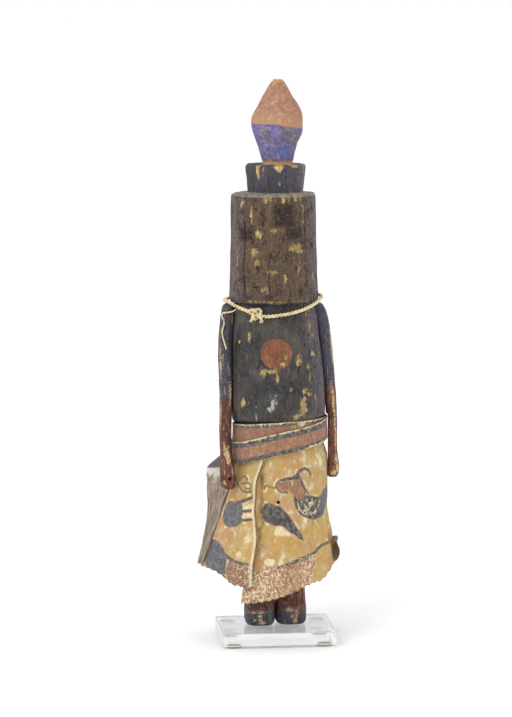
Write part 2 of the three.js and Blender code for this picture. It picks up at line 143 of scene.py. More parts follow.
# Worn rims, each [height, how worn, square of its spread], on what lies outside a reach
WORN_RIMS = [[304, 1, 1.2], [324.4, 0.4, 0.8], [230.6, 0.8, 1.5]]
RIMS_OUTSIDE = 18
# A notch in the knob's upper edge, and the trunk's left side swelling out just over the belt
NOTCH = {"across": -17.5, "width": 2.4, "heights": (320.5, 324), "depth": 1.3}
HIP = {"angle": 270, "spread": 22, "height": 2.2, "low": (143.4, 144.6), "high": (145.8, 147.4)}

# Paint and wear of the body. Places are [mm round the body at a 30 mm radius, height], and a spot
# adds its half width and half height. FAR is the value of a point that a paint doesn't reach.
FAR = -9
CHEST_DISC = [-2.9, 195.3, 10.6]
BODY_CHIPS = [
    [-12.1, 182.9, 1.8, 2.9], [-5, 183.2, 3.3, 1.4], [-2.9, 178, 1.1, 2.6], [10.6, 189.2, 1.4, 2],
    [12.4, 190.6, 1.2, 3.2], [25, 194, 1.6, 1.6], [19.3, 185.3, 1.5, 1.5], [20, 177.8, 0.7, 3.5],
    [15.2, 168, 1.4, 1.6], [18.4, 166.4, 1.5, 1.5], [16.8, 170.4, 1, 1.2], [13.9, 158.4, 2.6, 6.6],
    [9, 151.6, 1.6, 2], [11.4, 152.4, 1.3, 1.1], [25, 214, 0.9, 5.5], [27.1, 207.7, 0.9, 2.2],
    [23.6, 221.4, 1.5, 1.5], [-27.8, 160, 2, 3.2], [-23.6, 160.1, 1.2, 1.2], [-22.1, 206.5, 1.1, 2.2],
    [-31.4, 202.8, 1.2, 1.2], [5.7, 170.4, 1.4, 0.9], [24.3, 164.3, 1.3, 1.3], [3, 193, 1, 1.6],
    [1.4, 188.2, 2.6, 1.1], [46, 190, 1.5, 4], [-52, 178, 2, 5], [70, 205, 2.2, 3], [-80, 190, 1.6, 6],
    [-13.6, 278, 2.2, 2.6], [-17.2, 266, 2.6, 3.4], [-15, 258, 2, 2.4], [-3, 280.6, 2.6, 1.8],
    [13.4, 269, 4.6, 1.8], [15.6, 266.4, 3, 1.4], [9.6, 267.6, 2.4, 1.4], [30, 249, 0.7, 3.8],
    [-4.6, 252, 3.2, 1.4], [-9.3, 239.9, 2.6, 1.5], [15, 253.7, 1, 3.2], [4.6, 247, 1.2, 2.4],
    [-9.3, 301.6, 1.8, 2.6], [-5.6, 302.6, 1, 1.6], [4, 302.4, 1.6, 2.8], [7.4, 303, 1, 2],
    [13, 302.8, 1.4, 3], [16.8, 303, 1.1, 2.2], [-27.8, 298.5, 1.6, 2.6], [-19.3, 291.4, 0.9, 4.6],
    [19.6, 290.7, 0.9, 5], [-33, 262, 1, 6], [40, 285, 1.6, 5], [-60, 270, 2, 4], [75, 262, 2, 6],
    [-22.4, 321.6, 1.9, 5.4], [-0.7, 325, 4.8, 1.8], [0, 322.4, 2, 2.4], [0.9, 312.5, 1.1, 1.7],
    [-16.4, 321.5, 0.9, 2.2], [34, 322, 1.6, 3], [62, 321, 2.4, 4], [-70, 322, 2, 3.5],
    [-25.7, 348.4, 2, 0.7], [-24, 346.4, 1.6, 0.6], [23.6, 344.4, 3.2, 0.9], [20.7, 342.2, 1.6, 0.8],
    [12.1, 349.6, 2, 0.5], [-17.8, 350.2, 2.6, 0.5], [-1.4, 329.6, 3.6, 1.2],
]
# Flakes split off the knob's upper edge, as outlines
KNOB_FLAKES = [
    [[-24.8, 326], [-20.6, 326], [-21.2, 319], [-22.2, 315.4], [-23.4, 318]],
    [[-5.4, 326], [6, 326], [3.4, 322.4], [0.2, 319.6], [-2.6, 322.6]],
    [[14, 326], [24, 326], [22, 323.4], [18, 324], [15.6, 322.8]],
]
WHITE_SMEARS = [
    [-6.4, 160.3, 1.8, 4.2], [-8.4, 156.5, 1.6, 1.8], [-4.4, 163.6, 1, 2.6], [-17.8, 152.4, 0.7, 3],
]
# The mask's dark patches, its rubbed lower rim, its dusty top, and a painted sheen, lighter grey towards
# the sides of the body
MASK_PATCHES = [[-24, 277.9, 6, 4.4], [11.4, 278.3, 6, 4], [4, 291, 7.5, 8]]
MASK_RIM = {"height": 231.3, "reach": 24}
MASK_TOP = 303.6
PAINTED_SIDE_SHEEN = {"across": 38, "fade": 0.08, "right": 0.8, "left_mask": 0.1}
# The finial's blue ends below the orange at a height that falls to the right. It has greyer and
# brighter spots, and the wood is bare at its foot and its tip.
BLUE_TOP = {"height": 352.2, "fall": 2.8}
GREY_BLUE = [[12, 347, 12, 5.5], [26, 340, 5, 5], [-22, 345, 5, 4]]
BRIGHT_BLUE = [[8, 333.5, 12, 4.5]]
FINIAL_BARE = {"foot": 327, "tip": 381.6}
# Drying cracks, each [mm round, low end, high end, width]
BODY_CRACKS = [
    [-25.5, 236, 292, 0.8], [-6.2, 232, 262, 0.5], [21.5, 240, 300, 0.6], [36, 232, 284, 0.8],
    [-44, 245, 303, 0.9], [68, 234, 300, 1], [-78, 236, 290, 0.7], [-10, 306, 320, 0.6],
    [8, 306, 323, 0.5], [-30, 305, 318, 0.7], [47, 306, 324, 0.8], [-36, 150, 214, 0.9],
    [28.5, 152, 205, 0.6], [60, 150, 222, 0.9], [-66, 160, 225, 0.8], [-20, 190, 224, 0.4],
]

# Legs, each [height, half width, half depth, centre y], and where each stands
LEG = [
    [0, 8.9, 11.6, -1.2],
    [1.2, 9.6, 12.4, -1.2],
    [7, 9.9, 12.8, -1.2],
    [13, 9.8, 12.2, -0.7],
    [19, 9.5, 10.6, 0.6],
    [27, 9.4, 9.8, 1],
    [45, 10.3, 11, 0.4],
    [75, 11, 12.4, 0],
]
LEG_POWER = 2.9
LEG_COLUMNS = 96
LEG_RADIUS = 10
LEG_SEED = 8
SOLE_ROUNDING = {"depth": 1.2, "height": 2.2}
LEGS = {
    "left": {"x": -11.2, "forward": 1.2, "wide": 1.09, "shoe": 11.5, "slant": 0.3},
    "right": {"x": 10.9, "forward": -1, "wide": 1.13, "shoe": 9, "slant": 1},
}
# Chips and a green-grey smear on each shoe, by mm from the leg's own middle and height
SHOE_CHIPS = {
    "left": [[-0.9, 6.4, 1, 3.9], [-3, 10.6, 3.2, 0.5], [-4.6, 5, 0.7, 0.7], [1.6, 3, 0.8, 1]],
    "right": [[-1.9, 11.6, 1.9, 1.2], [3.4, 9.8, 0.8, 2.6], [2.4, 3.4, 1.4, 1.6], [0.4, 7, 1, 1.4]],
}
SHOE_MOSS = {"left": [[6.6, 8.5, 1.6, 7.5]], "right": [[-8, 14, 1, 3]]}
# Degrees either side of the front that they reach to
SHOE_FRONT = {"chips": 80, "moss": 90}
LEG_CRACKS = [[2.4, 3, 24, 0.5], [-6, 8, 40, 0.5], [22, 2, 30, 0.6]]

# Arm sections, each [height, centre x, centre y, half width, half depth], fist to shoulder
ARM_POWER = 2.3
ARM_COLUMNS = 72
ARM_RADIUS = 5
KNUCKLES = {"depth": 0.35, "width": 0.55, "reach": 110}
LEFT_ARM = [
    [99.6, -34.2, -17, 2.8, 3.2],
    [101, -34.4, -17, 4.4, 4.8],
    [105, -34.8, -16.6, 5.4, 5.8],
    [112, -35.2, -15.6, 5.3, 5.8],
    [120, -35.4, -13.6, 4.6, 5.2],
    [126, -35.8, -11.6, 4.2, 4.9],
    [140, -35.8, -8, 4.4, 5.2],
    [158, -35, -4.6, 4.6, 5.8],
    [175, -34.9, -3, 4.9, 6.2],
    [190, -35.1, -1.8, 5.1, 6.6],
    [205, -34.6, -1.2, 5.2, 6.8],
    [221, -33.2, -0.4, 5, 6.6],
    [226.6, -32.4, 0.2, 4.2, 5.8],
    [228, -31.6, 0.6, 2.6, 4],
]
RIGHT_ARM = [
    [105, 40.2, -4.6, 2.8, 3.4],
    [107, 40.3, -4.6, 4.2, 5],
    [111, 40.5, -4.6, 4.6, 5.5],
    [117, 40.4, -4.6, 4.2, 5.2],
    [124, 40, -4.4, 3.6, 4.8],
    [140, 39.7, -4, 3.7, 5],
    [158, 38.9, -3.6, 4, 5.4],
    [175, 37.4, -3.2, 4.4, 6],
    [190, 36, -2.8, 4.6, 6.4],
    [205, 34.3, -2.4, 4.8, 6.6],
    [221, 31.4, -1.8, 4.8, 6.4],
    [227, 29.2, -1.4, 4, 5.6],
    [228.6, 28.4, -1.2, 2.4, 3.8],
]

# Each arm's wear and grip are [mm round the arm at a 5 mm radius, height, ...]
ARMS = {
    "left_arm": {
        "rows": LEFT_ARM,
        "red_below": 161,
        "seed": 21,
        "grip": [1.2, 107.4, 1.6],
        "hole": 2.6,
        "knuckles": [103.6, 110.4],
        "chips": [
            [2.4, 165, 1, 5], [0.6, 123, 1.3, 4.6], [-1.2, 126.5, 0.9, 3], [-4.4, 186, 0.6, 7],
            [-5.4, 150, 0.7, 6], [3.2, 112.6, 0.8, 1.6], [-2.8, 104.6, 0.9, 1], [9, 190, 1, 8],
        ],
    },
    "right_arm": {
        "rows": RIGHT_ARM,
        "red_below": 170,
        "seed": 22,
        "grip": [1.4, 111.6, 0.9],
        "hole": 0.7,
        "knuckles": [108.6, 114.2],
        "chips": [
            [1.4, 160, 0.9, 8], [2.4, 146, 0.8, 7], [3, 132, 0.8, 6], [2.2, 118, 1.4, 3],
            [3.4, 111.6, 2.4, 3.4], [0.2, 108.6, 2.4, 1.6], [4.4, 196, 0.9, 9], [-8, 180, 1, 9],
        ],
    },
}

# The kilt wraps the hips once, from its inner end at the front left round to its outer end there
HIDE = {"kilt": 1, "belt": 0.8, "pelt": 1.4}
CLEARANCE = 0.3
KILT = {"centre": 2.6, "top": 137, "start": -43, "end": 330, "rounding": 0.16, "flare": 1.15}
# Where its ends lap, it and the belt over it stand out by a height, rising over these angles
LAP = {"height": 1.5, "kilt": (297, 312), "belt_up": (-67, -48), "belt_down": (-28, -14)}
KILT_HIPS = {"side": 34.2, "front": 30.6}
KILT_HEM_REACH = [
    [-43, 43], [-20, 41.4], [10, 41], [36, 40.8], [54, 41], [68, 41], [80, 39.4], [100, 40],
    [140, 42], [180, 43.5], [220, 46], [248, 51], [266, 54], [282, 51.4], [304, 45.5], [330, 42.6],
]
KILT_HEM_HEIGHT = [
    [-43, 21.6], [-23, 23], [0, 28], [17, 32.6], [30, 35.2], [43, 36.6], [53, 42], [62, 48],
    [71, 55.5], [82, 61.5], [105, 56], [140, 47], [180, 42], [230, 43], [270, 42.6], [289, 41],
    [301, 37], [314, 34], [330, 34.4],
]
KILT_FLARE_FROM = [
    [-43, 0.42], [0, 0.46], [50, 0.52], [80, 0.66], [110, 0.6], [160, 0.42], [262, 0.36], [330, 0.42],
]
KILT_FOLDS = {"count": 7, "depth": 0.9, "phase": 40}
# Waves of the ragged hem, each [height, radians of the wave for a degree round, phase]
HEM_NICKS = [[0.45, 0.9, 0], [0.3, 2.3, 1], [0.2, 4.1, 0]]
# How far the outer end strays from straight, as [height, degrees], the angle that this grows
# from, and the corner that curls out
KILT_END_FROM = 295
KILT_END_EDGE = [
    [31.8, -0.3], [46, -2.2], [67, -0.9], [84, -5.7], [101, -5.7], [112, -2.3], [121, 2.4], [130, 3],
]
KILT_CORNER = {"angle": 74, "spread": 8.5, "radius": 2.2, "turn": 290, "inset": 3, "drop": 10.2}
KILT_LIP = {"height": 1.3, "width": 6.5}
KILT_FINE = {"right": 76, "left": 262, "front": 132, "back": 96, "side": 76, "rows": 148}

# The kilt's picture. Places are [mm round the waist at a 38 mm radius, height].
KILT_RADIUS = 38
KILT_HOLE = {"across": -4.6, "height": 91.9, "radius": 1.4}
# The gutter beside the outer end, in degrees, darkened by painted shadow
KILT_GUTTER = -29.5
KILT_DARK = ("serpent", "wedge", "cloud", "corner", "crown")
KILT_SHAPES = {
    "serpent": [
        [9.1, 96.9], [8.9, 92], [10.4, 87.4], [13.8, 83.4], [18.2, 80.6], [23, 78.8], [28, 78],
        [34.5, 78.8], [41, 81], [50, 84], [64, 87], [64, 101], [52, 99.5], [44, 97.4], [38.4, 95],
        [32.4, 93.3], [26, 95], [21.1, 95.6], [17.3, 94.2], [12.8, 93],
    ],
    "crown": [
        [-4.6, 106.4], [-3.6, 107.6], [0.8, 108.9], [7.6, 109.7], [12.2, 111.8], [15.2, 109.8],
        [15.8, 106.9], [10.6, 107.2], [4.6, 107], [-2, 106.4],
    ],
    "snout": [[-5.2, 105.6], [0.8, 106.9], [6, 106], [6, 101.2], [1, 99.4], [-3.4, 100.8], [-5.6, 103]],
    "neck": [
        [4.6, 106], [9, 107], [14.8, 107], [16.8, 103.6], [18.2, 100.9], [20.8, 98], [21.1, 95.5],
        [17.3, 94], [12.8, 92.8], [9.6, 94.4], [8.9, 97.2], [5.4, 99.6],
    ],
    "wedge": [
        [-19.6, 86.6], [-15.9, 90.6], [-12, 91.4], [-8.2, 89.9], [-3, 88.9], [1, 85.4], [5.3, 81.7],
        [8.3, 77.4], [11.3, 73.4], [14.3, 69.2], [16, 64.6], [12.3, 66], [9, 68.9], [4.6, 71],
        [0.8, 74.3], [-3, 75.6], [-6.4, 75.2], [-10.4, 76.3], [-15.7, 78.2], [-18.6, 81.6],
    ],
    "flake": [
        [-8.4, 71.6], [-5.4, 75.4], [-1, 74.6], [1, 72.6], [4.8, 70], [8.6, 69.2], [3.8, 68.4],
        [-1.4, 69], [-5.4, 68.2], [-8, 70],
    ],
    "cloud": [
        [184.4, 86.6], [188, 89.2], [192, 89.9], [198, 88.6], [204, 89.6], [205.6, 81.4], [205.2, 76.4],
        [200.4, 73.2], [193.3, 71.9], [188, 73.8], [184.4, 79.4],
    ],
    "corner": [
        [183, 62], [188, 60.6], [193, 57.4], [196.4, 51.8], [197.8, 45.7], [198.2, 34], [190, 38],
        [184, 43], [177, 49], [171, 56],
    ],
    "window_high": [[205.4, 88.8], [214.6, 90.8], [214.6, 87.6], [205.4, 86]],
    "window_low": [[205.6, 82.8], [214.6, 84.4], [214.6, 81.4], [205.6, 79.8]],
}
# Brush strokes, each a line and its width or its widths at both ends
KILT_STROKES = [
    (
        [
            [12, 110.6], [13.2, 112.4], [15.8, 113.9], [18.9, 114.7], [21.9, 114], [23.6, 112.3],
            [24.9, 109.7],
        ],
        [2.6, 1.5],
    ),
    ([[-4.6, 106.4], [-6.6, 104.4], [-6.2, 102.2], [-4.4, 100.2], [-2.4, 98.9], [3.8, 98.7]], 1.3),
    ([[15.8, 106.6], [17.6, 102.8], [20.4, 99.4], [23, 97]], [2.2, 1.5]),
    ([[-16.6, 100.8], [-16.4, 102.6], [-14.4, 103.7], [-12.6, 102.5], [-9.7, 102], [-5.6, 101.9]], 0.95),
    ([[197.4, 89.2], [205, 92], [212, 94.6]], [3.4, 1.8]),
    ([[204.6, 84.4], [214.6, 86]], 2),
    ([[204.6, 78.2], [214.8, 79.9]], 1.9),
    ([[196.1, 103.2], [200.5, 99.4], [206.3, 97.7], [211.4, 98.9]], 1.3),
    ([[197.2, 104.4], [200.4, 107.6], [204, 108.9], [207.4, 107.4], [206.6, 104.6], [202.4, 103.6]], 1.1),
    ([[203.6, 103.6], [208.6, 104.8], [211.6, 103], [210.4, 100.6], [206, 100.4]], 1),
    ([[192, 55.4], [197, 51.9], [205, 49.6], [213, 48.6], [217.4, 48.8]], [2.6, 2.2]),
    ([[-14, 44.6], [-8, 46], [-2.2, 47.9], [3.8, 49.8], [12.8, 52.4], [20, 53.8]], [1, 3]),
    ([[19, 53.8], [24, 55.4], [32, 60], [42, 61.5], [52, 62]], [2.4, 1.4]),
    ([[26.6, 76.8], [26.4, 74.6]], 0.8),
    ([[22, 77.6], [21.4, 76.2]], 0.8),
    ([[31, 77.2], [31.6, 75.6]], 0.8),
]
# Lines left bare in the serpent's body: a bow inside its edge, two chevrons and an eye
KILT_PALE_STROKES = [
    ([[12.6, 90.4], [14, 86.4], [17.2, 83.4], [21.6, 81.6]], 1),
    ([[15.6, 91.4], [19, 88.4], [22.6, 85], [26, 88.6], [30.4, 91.6]], 1.1),
    ([[22, 92.4], [24.6, 89], [27, 92]], [1.2, 1.8]),
    ([[25, 82.2], [30.6, 83.6], [34, 87.4], [35.6, 91.4]], 1),
    ([[18.6, 85.4], [21, 84.4]], 0.8),
    ([[7.6, 104.2], [7.7, 106]], 1.2),
]
# Worn places, as spots, where the ochre is gone
KILT_WORN = [
    [-12.7, 77.5, 3, 1.6], [-13.2, 68.4, 1.6, 3.4], [-15.4, 94.6, 1.6, 3], [-18, 108, 1.6, 5.5],
    [-11, 114.6, 2, 2.4], [-9, 108.6, 1.2, 1.6], [-8, 104.8, 1, 1], [-6, 99.4, 2, 0.9],
    [-11, 50.4, 9, 5.2], [-12.5, 41.5, 8, 6], [-2, 48.6, 6, 3], [31.6, 46, 1, 3.5], [-15, 62, 2.4, 7],
    [207, 55, 5.6, 4.6], [213.6, 64, 2.6, 6], [203, 66.5, 2.6, 2.6], [-12, 84, 1.4, 6],
    [204.2, 57.8, 2.1, 3.4], [199.2, 60.2, 1.4, 2.8], [211, 60.3, 3, 4], [-14.6, 59.6, 1.3, 2.8],
    [-8.4, 62.4, 1, 1.6], [212.6, 97, 2, 3], [24, 101, 1.2, 2.6], [33, 104, 2.4, 3], [90, 90, 5, 6],
    [130, 70, 6, 8], [160, 96, 5, 5],
]
# Painted shade on the rolled corner at the right, as a spot
KILT_ROLLED = [[49, 48, 7, 6]]
# Height of the red border's upper edge round the kilt, and how thickly it is specked with cream
KILT_BORDER = [[-29, 41], [-16, 43.5], [-9.7, 45.6], [3.8, 50], [12.8, 52.4], [22, 54], [60, 56]]
KILT_BORDER_LEFT = [
    [150, 52], [175, 46], [190, 40], [197.5, 40], [199, 49.5], [206, 48.6], [219, 48.6],
]
# The border ends before the flap at the right, and is level across the hidden stretch behind
KILT_FLAP = 22.4
KILT_HIDDEN = {"from": 60, "to": 150, "border": 52}
KILT_SPECKLE = [
    [-29, 0.5], [-14, 0.55], [-6, 0.4], [0, 0.25], [8, 0.2], [14, 0.4], [24, 0.5], [40, 0.3], [190, 0.1],
    [212, 0.3], [219, 0.5],
]

# The belt winds from the back left, level across the front, down round the back, then up across
# the front again over its first turn. Each pair is [angle, height of its top edge].
BELT = {"width": 15, "turn_lift": 1.45, "lean": 0.5, "seat": 130, "low": 112, "high": 150}
# Angles over which its second turn climbs onto its first, and where its first paint gives way
SECOND_TURN = (120, 240)
SECOND_PAINT = (180, 240)
BELT_FINE = {"rows": 20, "columns": 620}
BELT_WAVES = [[0.25, 9], [0.15, 23]]
BELT_ROLL = {"height": 0.35, "width": 1.2}
BELT_BANDS = {"edge": 0.75, "upper": 4.4, "first_upper": 2.6, "lower": 12.1}
BELT_PATCH = [[15, 1.6, 5, 1.8], [11, 3.2, 2.6, 1]]
BELT_PATH = [
    [-150, 142], [-90, 143.2], [-20, 146.8], [30, 148], [90, 147], [180, 139], [256, 130.6],
    [300, 132.5], [345, 139], [390, 143.6], [450, 148], [500, 148.6],
]

# The pelt hangs behind the left hip. Each row is [height, reach] where it stands out most,
# from its tuck at the belt, over its fold, to its lower end.
PELT_ROWS = [
    [124, 36.4], [121, 39.4], [117, 43.8], [112.6, 49], [109, 50.6], [98, 49.6],
    [86, 48], [72, 48.4], [58, 49.8], [44.5, 51.8],
]
PELT = {"start": -93, "end": -192, "widest": -112, "back_share": 0.42, "fold_row": 4}
PELT_FINE = {"rows": 140, "columns": 150}
PELT_SHADED_BELOW = 74
# Its front edge turns in to the hip, from some degrees before its start to some after
PELT_TURN = {"from": 7, "closed": 6}
# Hairs start between two rows of the pelt's grid, and hang at most some mm past its lower edge
HAIRY_ROWS = (2, 74)
HAIR_PAST = 2.5
HAIR_RADIUS = 0.3

PAD = {"diameter": 11.5, "height": 2, "edge": 0.5}

# Studio, in metres: the floor's half side, the lights' places and sizes, and what they aim at
FLOOR_SIDE = 160
KEY_LIGHT = (-1.3, -1.5, 1.9), 1.2
FILL_LIGHT = (1.8, -1.4, 1.2), 1.6
LIGHTS_AIM = (0, 0, 0.2)

# The string round the neck, in order from the knot to the right and back to the knot, and the
# directions that its stubs' and its knot's rings start from
CORD_DIAMETER = 2.4
STRING_STEP = 0.45
STUB_UP = (0, 1, 0.2)
KNOT_UP = (0.1, 1, 0.1)
KNOT = {"x": -17.2, "y": -29.6, "z": 223.8, "width": 4.4, "depth": 2.5, "height": 3.9}
STRING = [
    [-14.5, -30.2, 222.6], [-10, -30, 221.6], [-4, -30.6, 221.9], [3.4, -30.9, 222.9],
    [11, -29.8, 224.4], [18, -26.2, 226.2], [24.6, -20.4, 228.6], [30, -11.6, 231],
    [32.2, -3.4, 232.3], [31.6, 6, 232.4], [27.4, 17, 232], [17, 27, 231.6], [2, 32.4, 231.2],
    [-14, 29.8, 231], [-26, 21, 230.6], [-33, 11, 230], [-35.2, 2.4, 229.9], [-33.6, -7, 229.8],
    [-31.2, -13.6, 228.4], [-27.4, -19.4, 226.8], [-22.8, -24.6, 225.2], [-19, -28.4, 224.2],
]
STUB = [[-18, -30.4, 223], [-19.4, -31.2, 220.6], [-20.6, -31.4, 218.4]]
CURL = [
    [-15.6, -30.6, 222.4], [-13.4, -31.6, 220.6], [-12.8, -31.6, 218.8], [-14.2, -31, 217.6],
]

# One loose fibre of the string, hanging down over the left shoulder
THREAD_DIAMETER = 1
THREAD_UP = (0, 1, 0.15)
LOOSE = [
    [-29.2, -15.6, 225], [-31, -13.6, 223.7], [-34, -10.6, 222.6], [-36.6, -8.8, 222.2],
    [-38.2, -7.8, 221.2], [-38, -7.8, 219.4], [-37, -8.2, 217.6], [-36.6, -8.6, 214.6],
    [-37.4, -8.6, 211.8], [-38, -8.6, 208.8], [-37.6, -8.8, 205.6], [-36.8, -9, 202.6],
    [-36, -9.2, 199.6], [-35, -9.6, 196.8],
]


# Curves, noise and other arithmetic on whole arrays


def through(table, x):
    """Smooth curve through rows of [x, value, ...]: a cubic between each two rows, whose slope at
    a row is that of the line from the row before it to the row after it."""
    table = np.asarray(table, float)
    knots, values = table[:, 0], table[:, 1:]
    before = np.maximum(np.arange(len(knots)) - 1, 0)
    after = np.minimum(np.arange(len(knots)) + 1, len(knots) - 1)
    slopes = (values[after] - values[before]) / (knots[after] - knots[before])[:, None]
    x = np.asarray(x, float)
    i = np.clip(np.searchsorted(knots, x, side="right") - 1, 0, len(knots) - 2)
    span = (knots[i + 1] - knots[i])[..., None]
    t = np.clip((x[..., None] - knots[i][..., None]) / span, 0, 1)
    rise = t * t * (3 - 2 * t)
    bend = span * t * (1 - t) * ((1 - t) * slopes[i] - t * slopes[i + 1])
    result = values[i] * (1 - rise) + values[i + 1] * rise + bend
    return result[..., 0] if values.shape[1] == 1 else result


def ease(x, start, end):
    """0 before start, 1 after end, and a smooth cubic rise between them."""
    t = np.clip((np.asarray(x, float) - start) / (end - start), 0, 1)
    return t * t * (3 - 2 * t)


def mix(a, b, t):
    return a * (1 - t) + b * t


def bump(x, width):
    """A bell curve, 1 where x is 0 and about a third where it is width."""
    return np.exp(-((x / width) ** 2))


def unit(vectors):
    """Vectors made one long."""
    return vectors / np.maximum(np.linalg.norm(vectors, axis=-1, keepdims=True), 1e-9)


def ripple(points, size, seed, stretch=(1, 1, 1), count=18):
    """Smooth noise, mostly between -1 and 1: the sum of plane waves about size long, each with its
    own random direction and phase. stretch makes its bumps longer along x, y and z."""
    draw = np.random.default_rng(seed)
    direction = unit(draw.normal(size=(count, 3)))
    turns = direction * (2 * np.pi / (size * draw.uniform(0.6, 1.6, count)))[:, None]
    phase = draw.uniform(0, 2 * np.pi, count)
    return np.sin((points / np.array(stretch)) @ turns.T + phase).sum(-1) / math.sqrt(count)


def scoops(across, along, seed, cells):
    """Blade marks: the squared distance to the nearest point of a jittered lattice, one point to a
    unit square, so that shallow hollows meet in ridges. across repeats after a count of cells."""
    jitter = np.random.default_rng(seed).uniform(0.15, 0.85, (64, cells, 2))
    column, row = np.floor(across).astype(int), np.floor(along).astype(int)
    nearest = np.full(across.shape, 9.0)
    for i in (-1, 0, 1):
        for j in (-1, 0, 1):
            spot = jitter[(row + j) % 64, (column + i) % cells]
            gap = (column + i + spot[..., 0] - across) ** 2 + (row + j + spot[..., 1] - along) ** 2
            nearest = np.minimum(nearest, gap)
    return nearest


def grid_normals(points, around=False):
    """Unit normals of a grid: the cross product of its differences along columns and rows."""
    if around:
        wide = np.roll(points, -1, axis=1) - np.roll(points, 1, axis=1)
    else:
        wide = np.gradient(points, axis=1)
    return unit(np.cross(wide, np.gradient(points, axis=0)))


def superellipse(angle, half_width, half_depth, power=2):
    """Plan of a section: the sine and cosine of the angle, each raised to two over the power."""
    s, c = np.sin(angle), np.cos(angle)
    across = half_width * np.sign(s) * np.abs(s) ** (2 / power)
    along = -half_depth * np.sign(c) * np.abs(c) ** (2 / power)
    return across, along


def about_waist(angle, reach, height):
    """Point at an angle in degrees and a reach from the waist's upright axis."""
    turn = np.radians(angle)
    return np.stack([KILT["centre"] + reach * np.sin(turn), -reach * np.cos(turn), height], axis=-1)


def along_path(path):
    """Length along a path at each of its points."""
    return np.append(0, np.cumsum(np.linalg.norm(np.diff(path, axis=0), axis=1)))


def route(points, step):
    """Even points about a step apart on a smooth curve through a short list of points."""
    points = np.asarray(points, float)
    chord = along_path(points)
    fine = through(np.column_stack([chord, points]), np.linspace(0, chord[-1], 40 * len(points)))
    length = along_path(fine)
    even = np.linspace(0, length[-1], max(4, round(length[-1] / step)))
    return np.column_stack([np.interp(even, length, fine[:, k]) for k in range(3)])


def square_to(path, up):
    """Two unit vectors square to a path at each point, the first square to the direction up."""
    ahead = unit(np.gradient(path, axis=0))
    side = unit(np.cross(ahead, up))
    return side, np.cross(side, ahead)


def tube(path, radius, sides, up):
    """Rings of points round a path: side times the cosine plus rise times the sine of an angle."""
    side, rise = square_to(path, up)
    turn = np.linspace(0, 2 * np.pi, sides, endpoint=False)[None, :, None]
    radius = np.broadcast_to(radius, len(path))[:, None, None]
    ring = np.cos(turn) * side[:, None] + np.sin(turn) * rise[:, None]
    return path[:, None] + radius * ring


def strand(path, offset, pitch, phase, up):
    """Path of one twisted strand: it turns round the path once in each pitch, at an offset."""
    side, rise = square_to(path, up)
    turn = (2 * np.pi * along_path(path) / pitch + phase)[:, None]
    return path + offset * (np.cos(turn) * side + np.sin(turn) * rise)


# Shapes shared by the dress and what touches it


def trunk_reach(height, angle):
    """Reach of the trunk's ellipse at an angle in degrees from the waist's centre."""
    row = through(TORSO, height)
    turn = np.radians(angle)
    return 1 / np.hypot(np.sin(turn) / row[..., 1], np.cos(turn) / row[..., 2])


def belt_foot(angle):
    """Height of the lowest edge of belt at an angle, whichever of its turns is lowest."""
    first, last = BELT_PATH[0][0], BELT_PATH[-1][0]
    tops = []
    for turn in (-360, 0, 360):
        there = angle + turn
        tops.append(np.where((there >= first) & (there <= last), through(BELT_PATH, there), 1e3))
    return np.min(tops, axis=0) - BELT["width"]


def kilt_reach(angle, down):
    """Reach of the kilt's outer face, down being the share of the way to the hem: close to the
    trunk under the belt, rounding over the hips, then out in soft folds by a power of the way."""
    turn = np.radians(angle)
    waist = trunk_reach(np.full_like(angle, BELT["seat"]), angle) + CLEARANCE + HIDE["kilt"]
    hips = 1 / np.hypot(np.sin(turn) / KILT_HIPS["side"], np.cos(turn) / KILT_HIPS["front"])
    start = through(KILT_FLARE_FROM, angle)
    flare = np.maximum(0, (down - start) / (1 - start)) ** KILT["flare"]
    hem = through(KILT_HEM_REACH, angle)
    foot = (KILT["top"] - belt_foot(angle)) / (KILT["top"] - through(KILT_HEM_HEIGHT, angle))
    upper = mix(waist, hips, ease((down - foot) / KILT["rounding"], 0, 1))
    wave = np.sin(np.radians(KILT_FOLDS["count"] * angle + KILT_FOLDS["phase"]))
    lap = LAP["height"] * ease(angle, *LAP["kilt"])
    return mix(upper, hem, flare) + KILT_FOLDS["depth"] * flare * wave + lap


def belt_reach(angle, lift):
    """Reach of the belt's inner face at its top edge: over the kilt, and over its lapped ends."""
    near = (angle + 180) % 360 - 180
    lapped = ease(near, *LAP["belt_up"]) - ease(near, *LAP["belt_down"])
    seat = trunk_reach(np.full_like(angle, BELT["seat"]), angle) + HIDE["kilt"] + 2 * CLEARANCE
    return seat + lift + LAP["height"] * lapped


def dress_reach(angle, height):
    """Reach of whatever dress there is at a height beside an arm: the kilt, the belt or both."""
    angle = np.minimum(angle % 360, KILT["end"])
    down = np.clip((KILT["top"] - height) / (KILT["top"] - through(KILT_HEM_HEIGHT, angle)), 0, 1)
    hips = np.where(height < KILT["top"], kilt_reach(angle, down), 0)
    belted = belt_reach(angle, BELT["turn_lift"]) + BELT["lean"] + HIDE["belt"]
    return np.maximum(hips, np.where((height > BELT["low"]) & (height < BELT["high"]), belted, 0))


# Painted areas: how far inside each one a point lies, in mm, negative outside


def inside_shape(across, height, outline):
    """Distance to the nearest side of a closed outline, positive where a level line from the
    point crosses the outline an odd number of times."""
    outline = np.asarray(outline, float)
    nearest = np.full(across.shape, 1e3)
    crossed = np.zeros(across.shape, bool)
    for (x0, y0), (x1, y1) in zip(outline, np.roll(outline, -1, axis=0)):
        dx, dy = x1 - x0, y1 - y0
        t = np.clip(((across - x0) * dx + (height - y0) * dy) / (dx * dx + dy * dy), 0, 1)
        nearest = np.minimum(nearest, np.hypot(across - x0 - t * dx, height - y0 - t * dy))
        level = (y0 > height) != (y1 > height)
        crossed ^= level & (across < x0 + dx * (height - y0) / (dy if dy else 1))
    return np.where(crossed, nearest, -nearest)


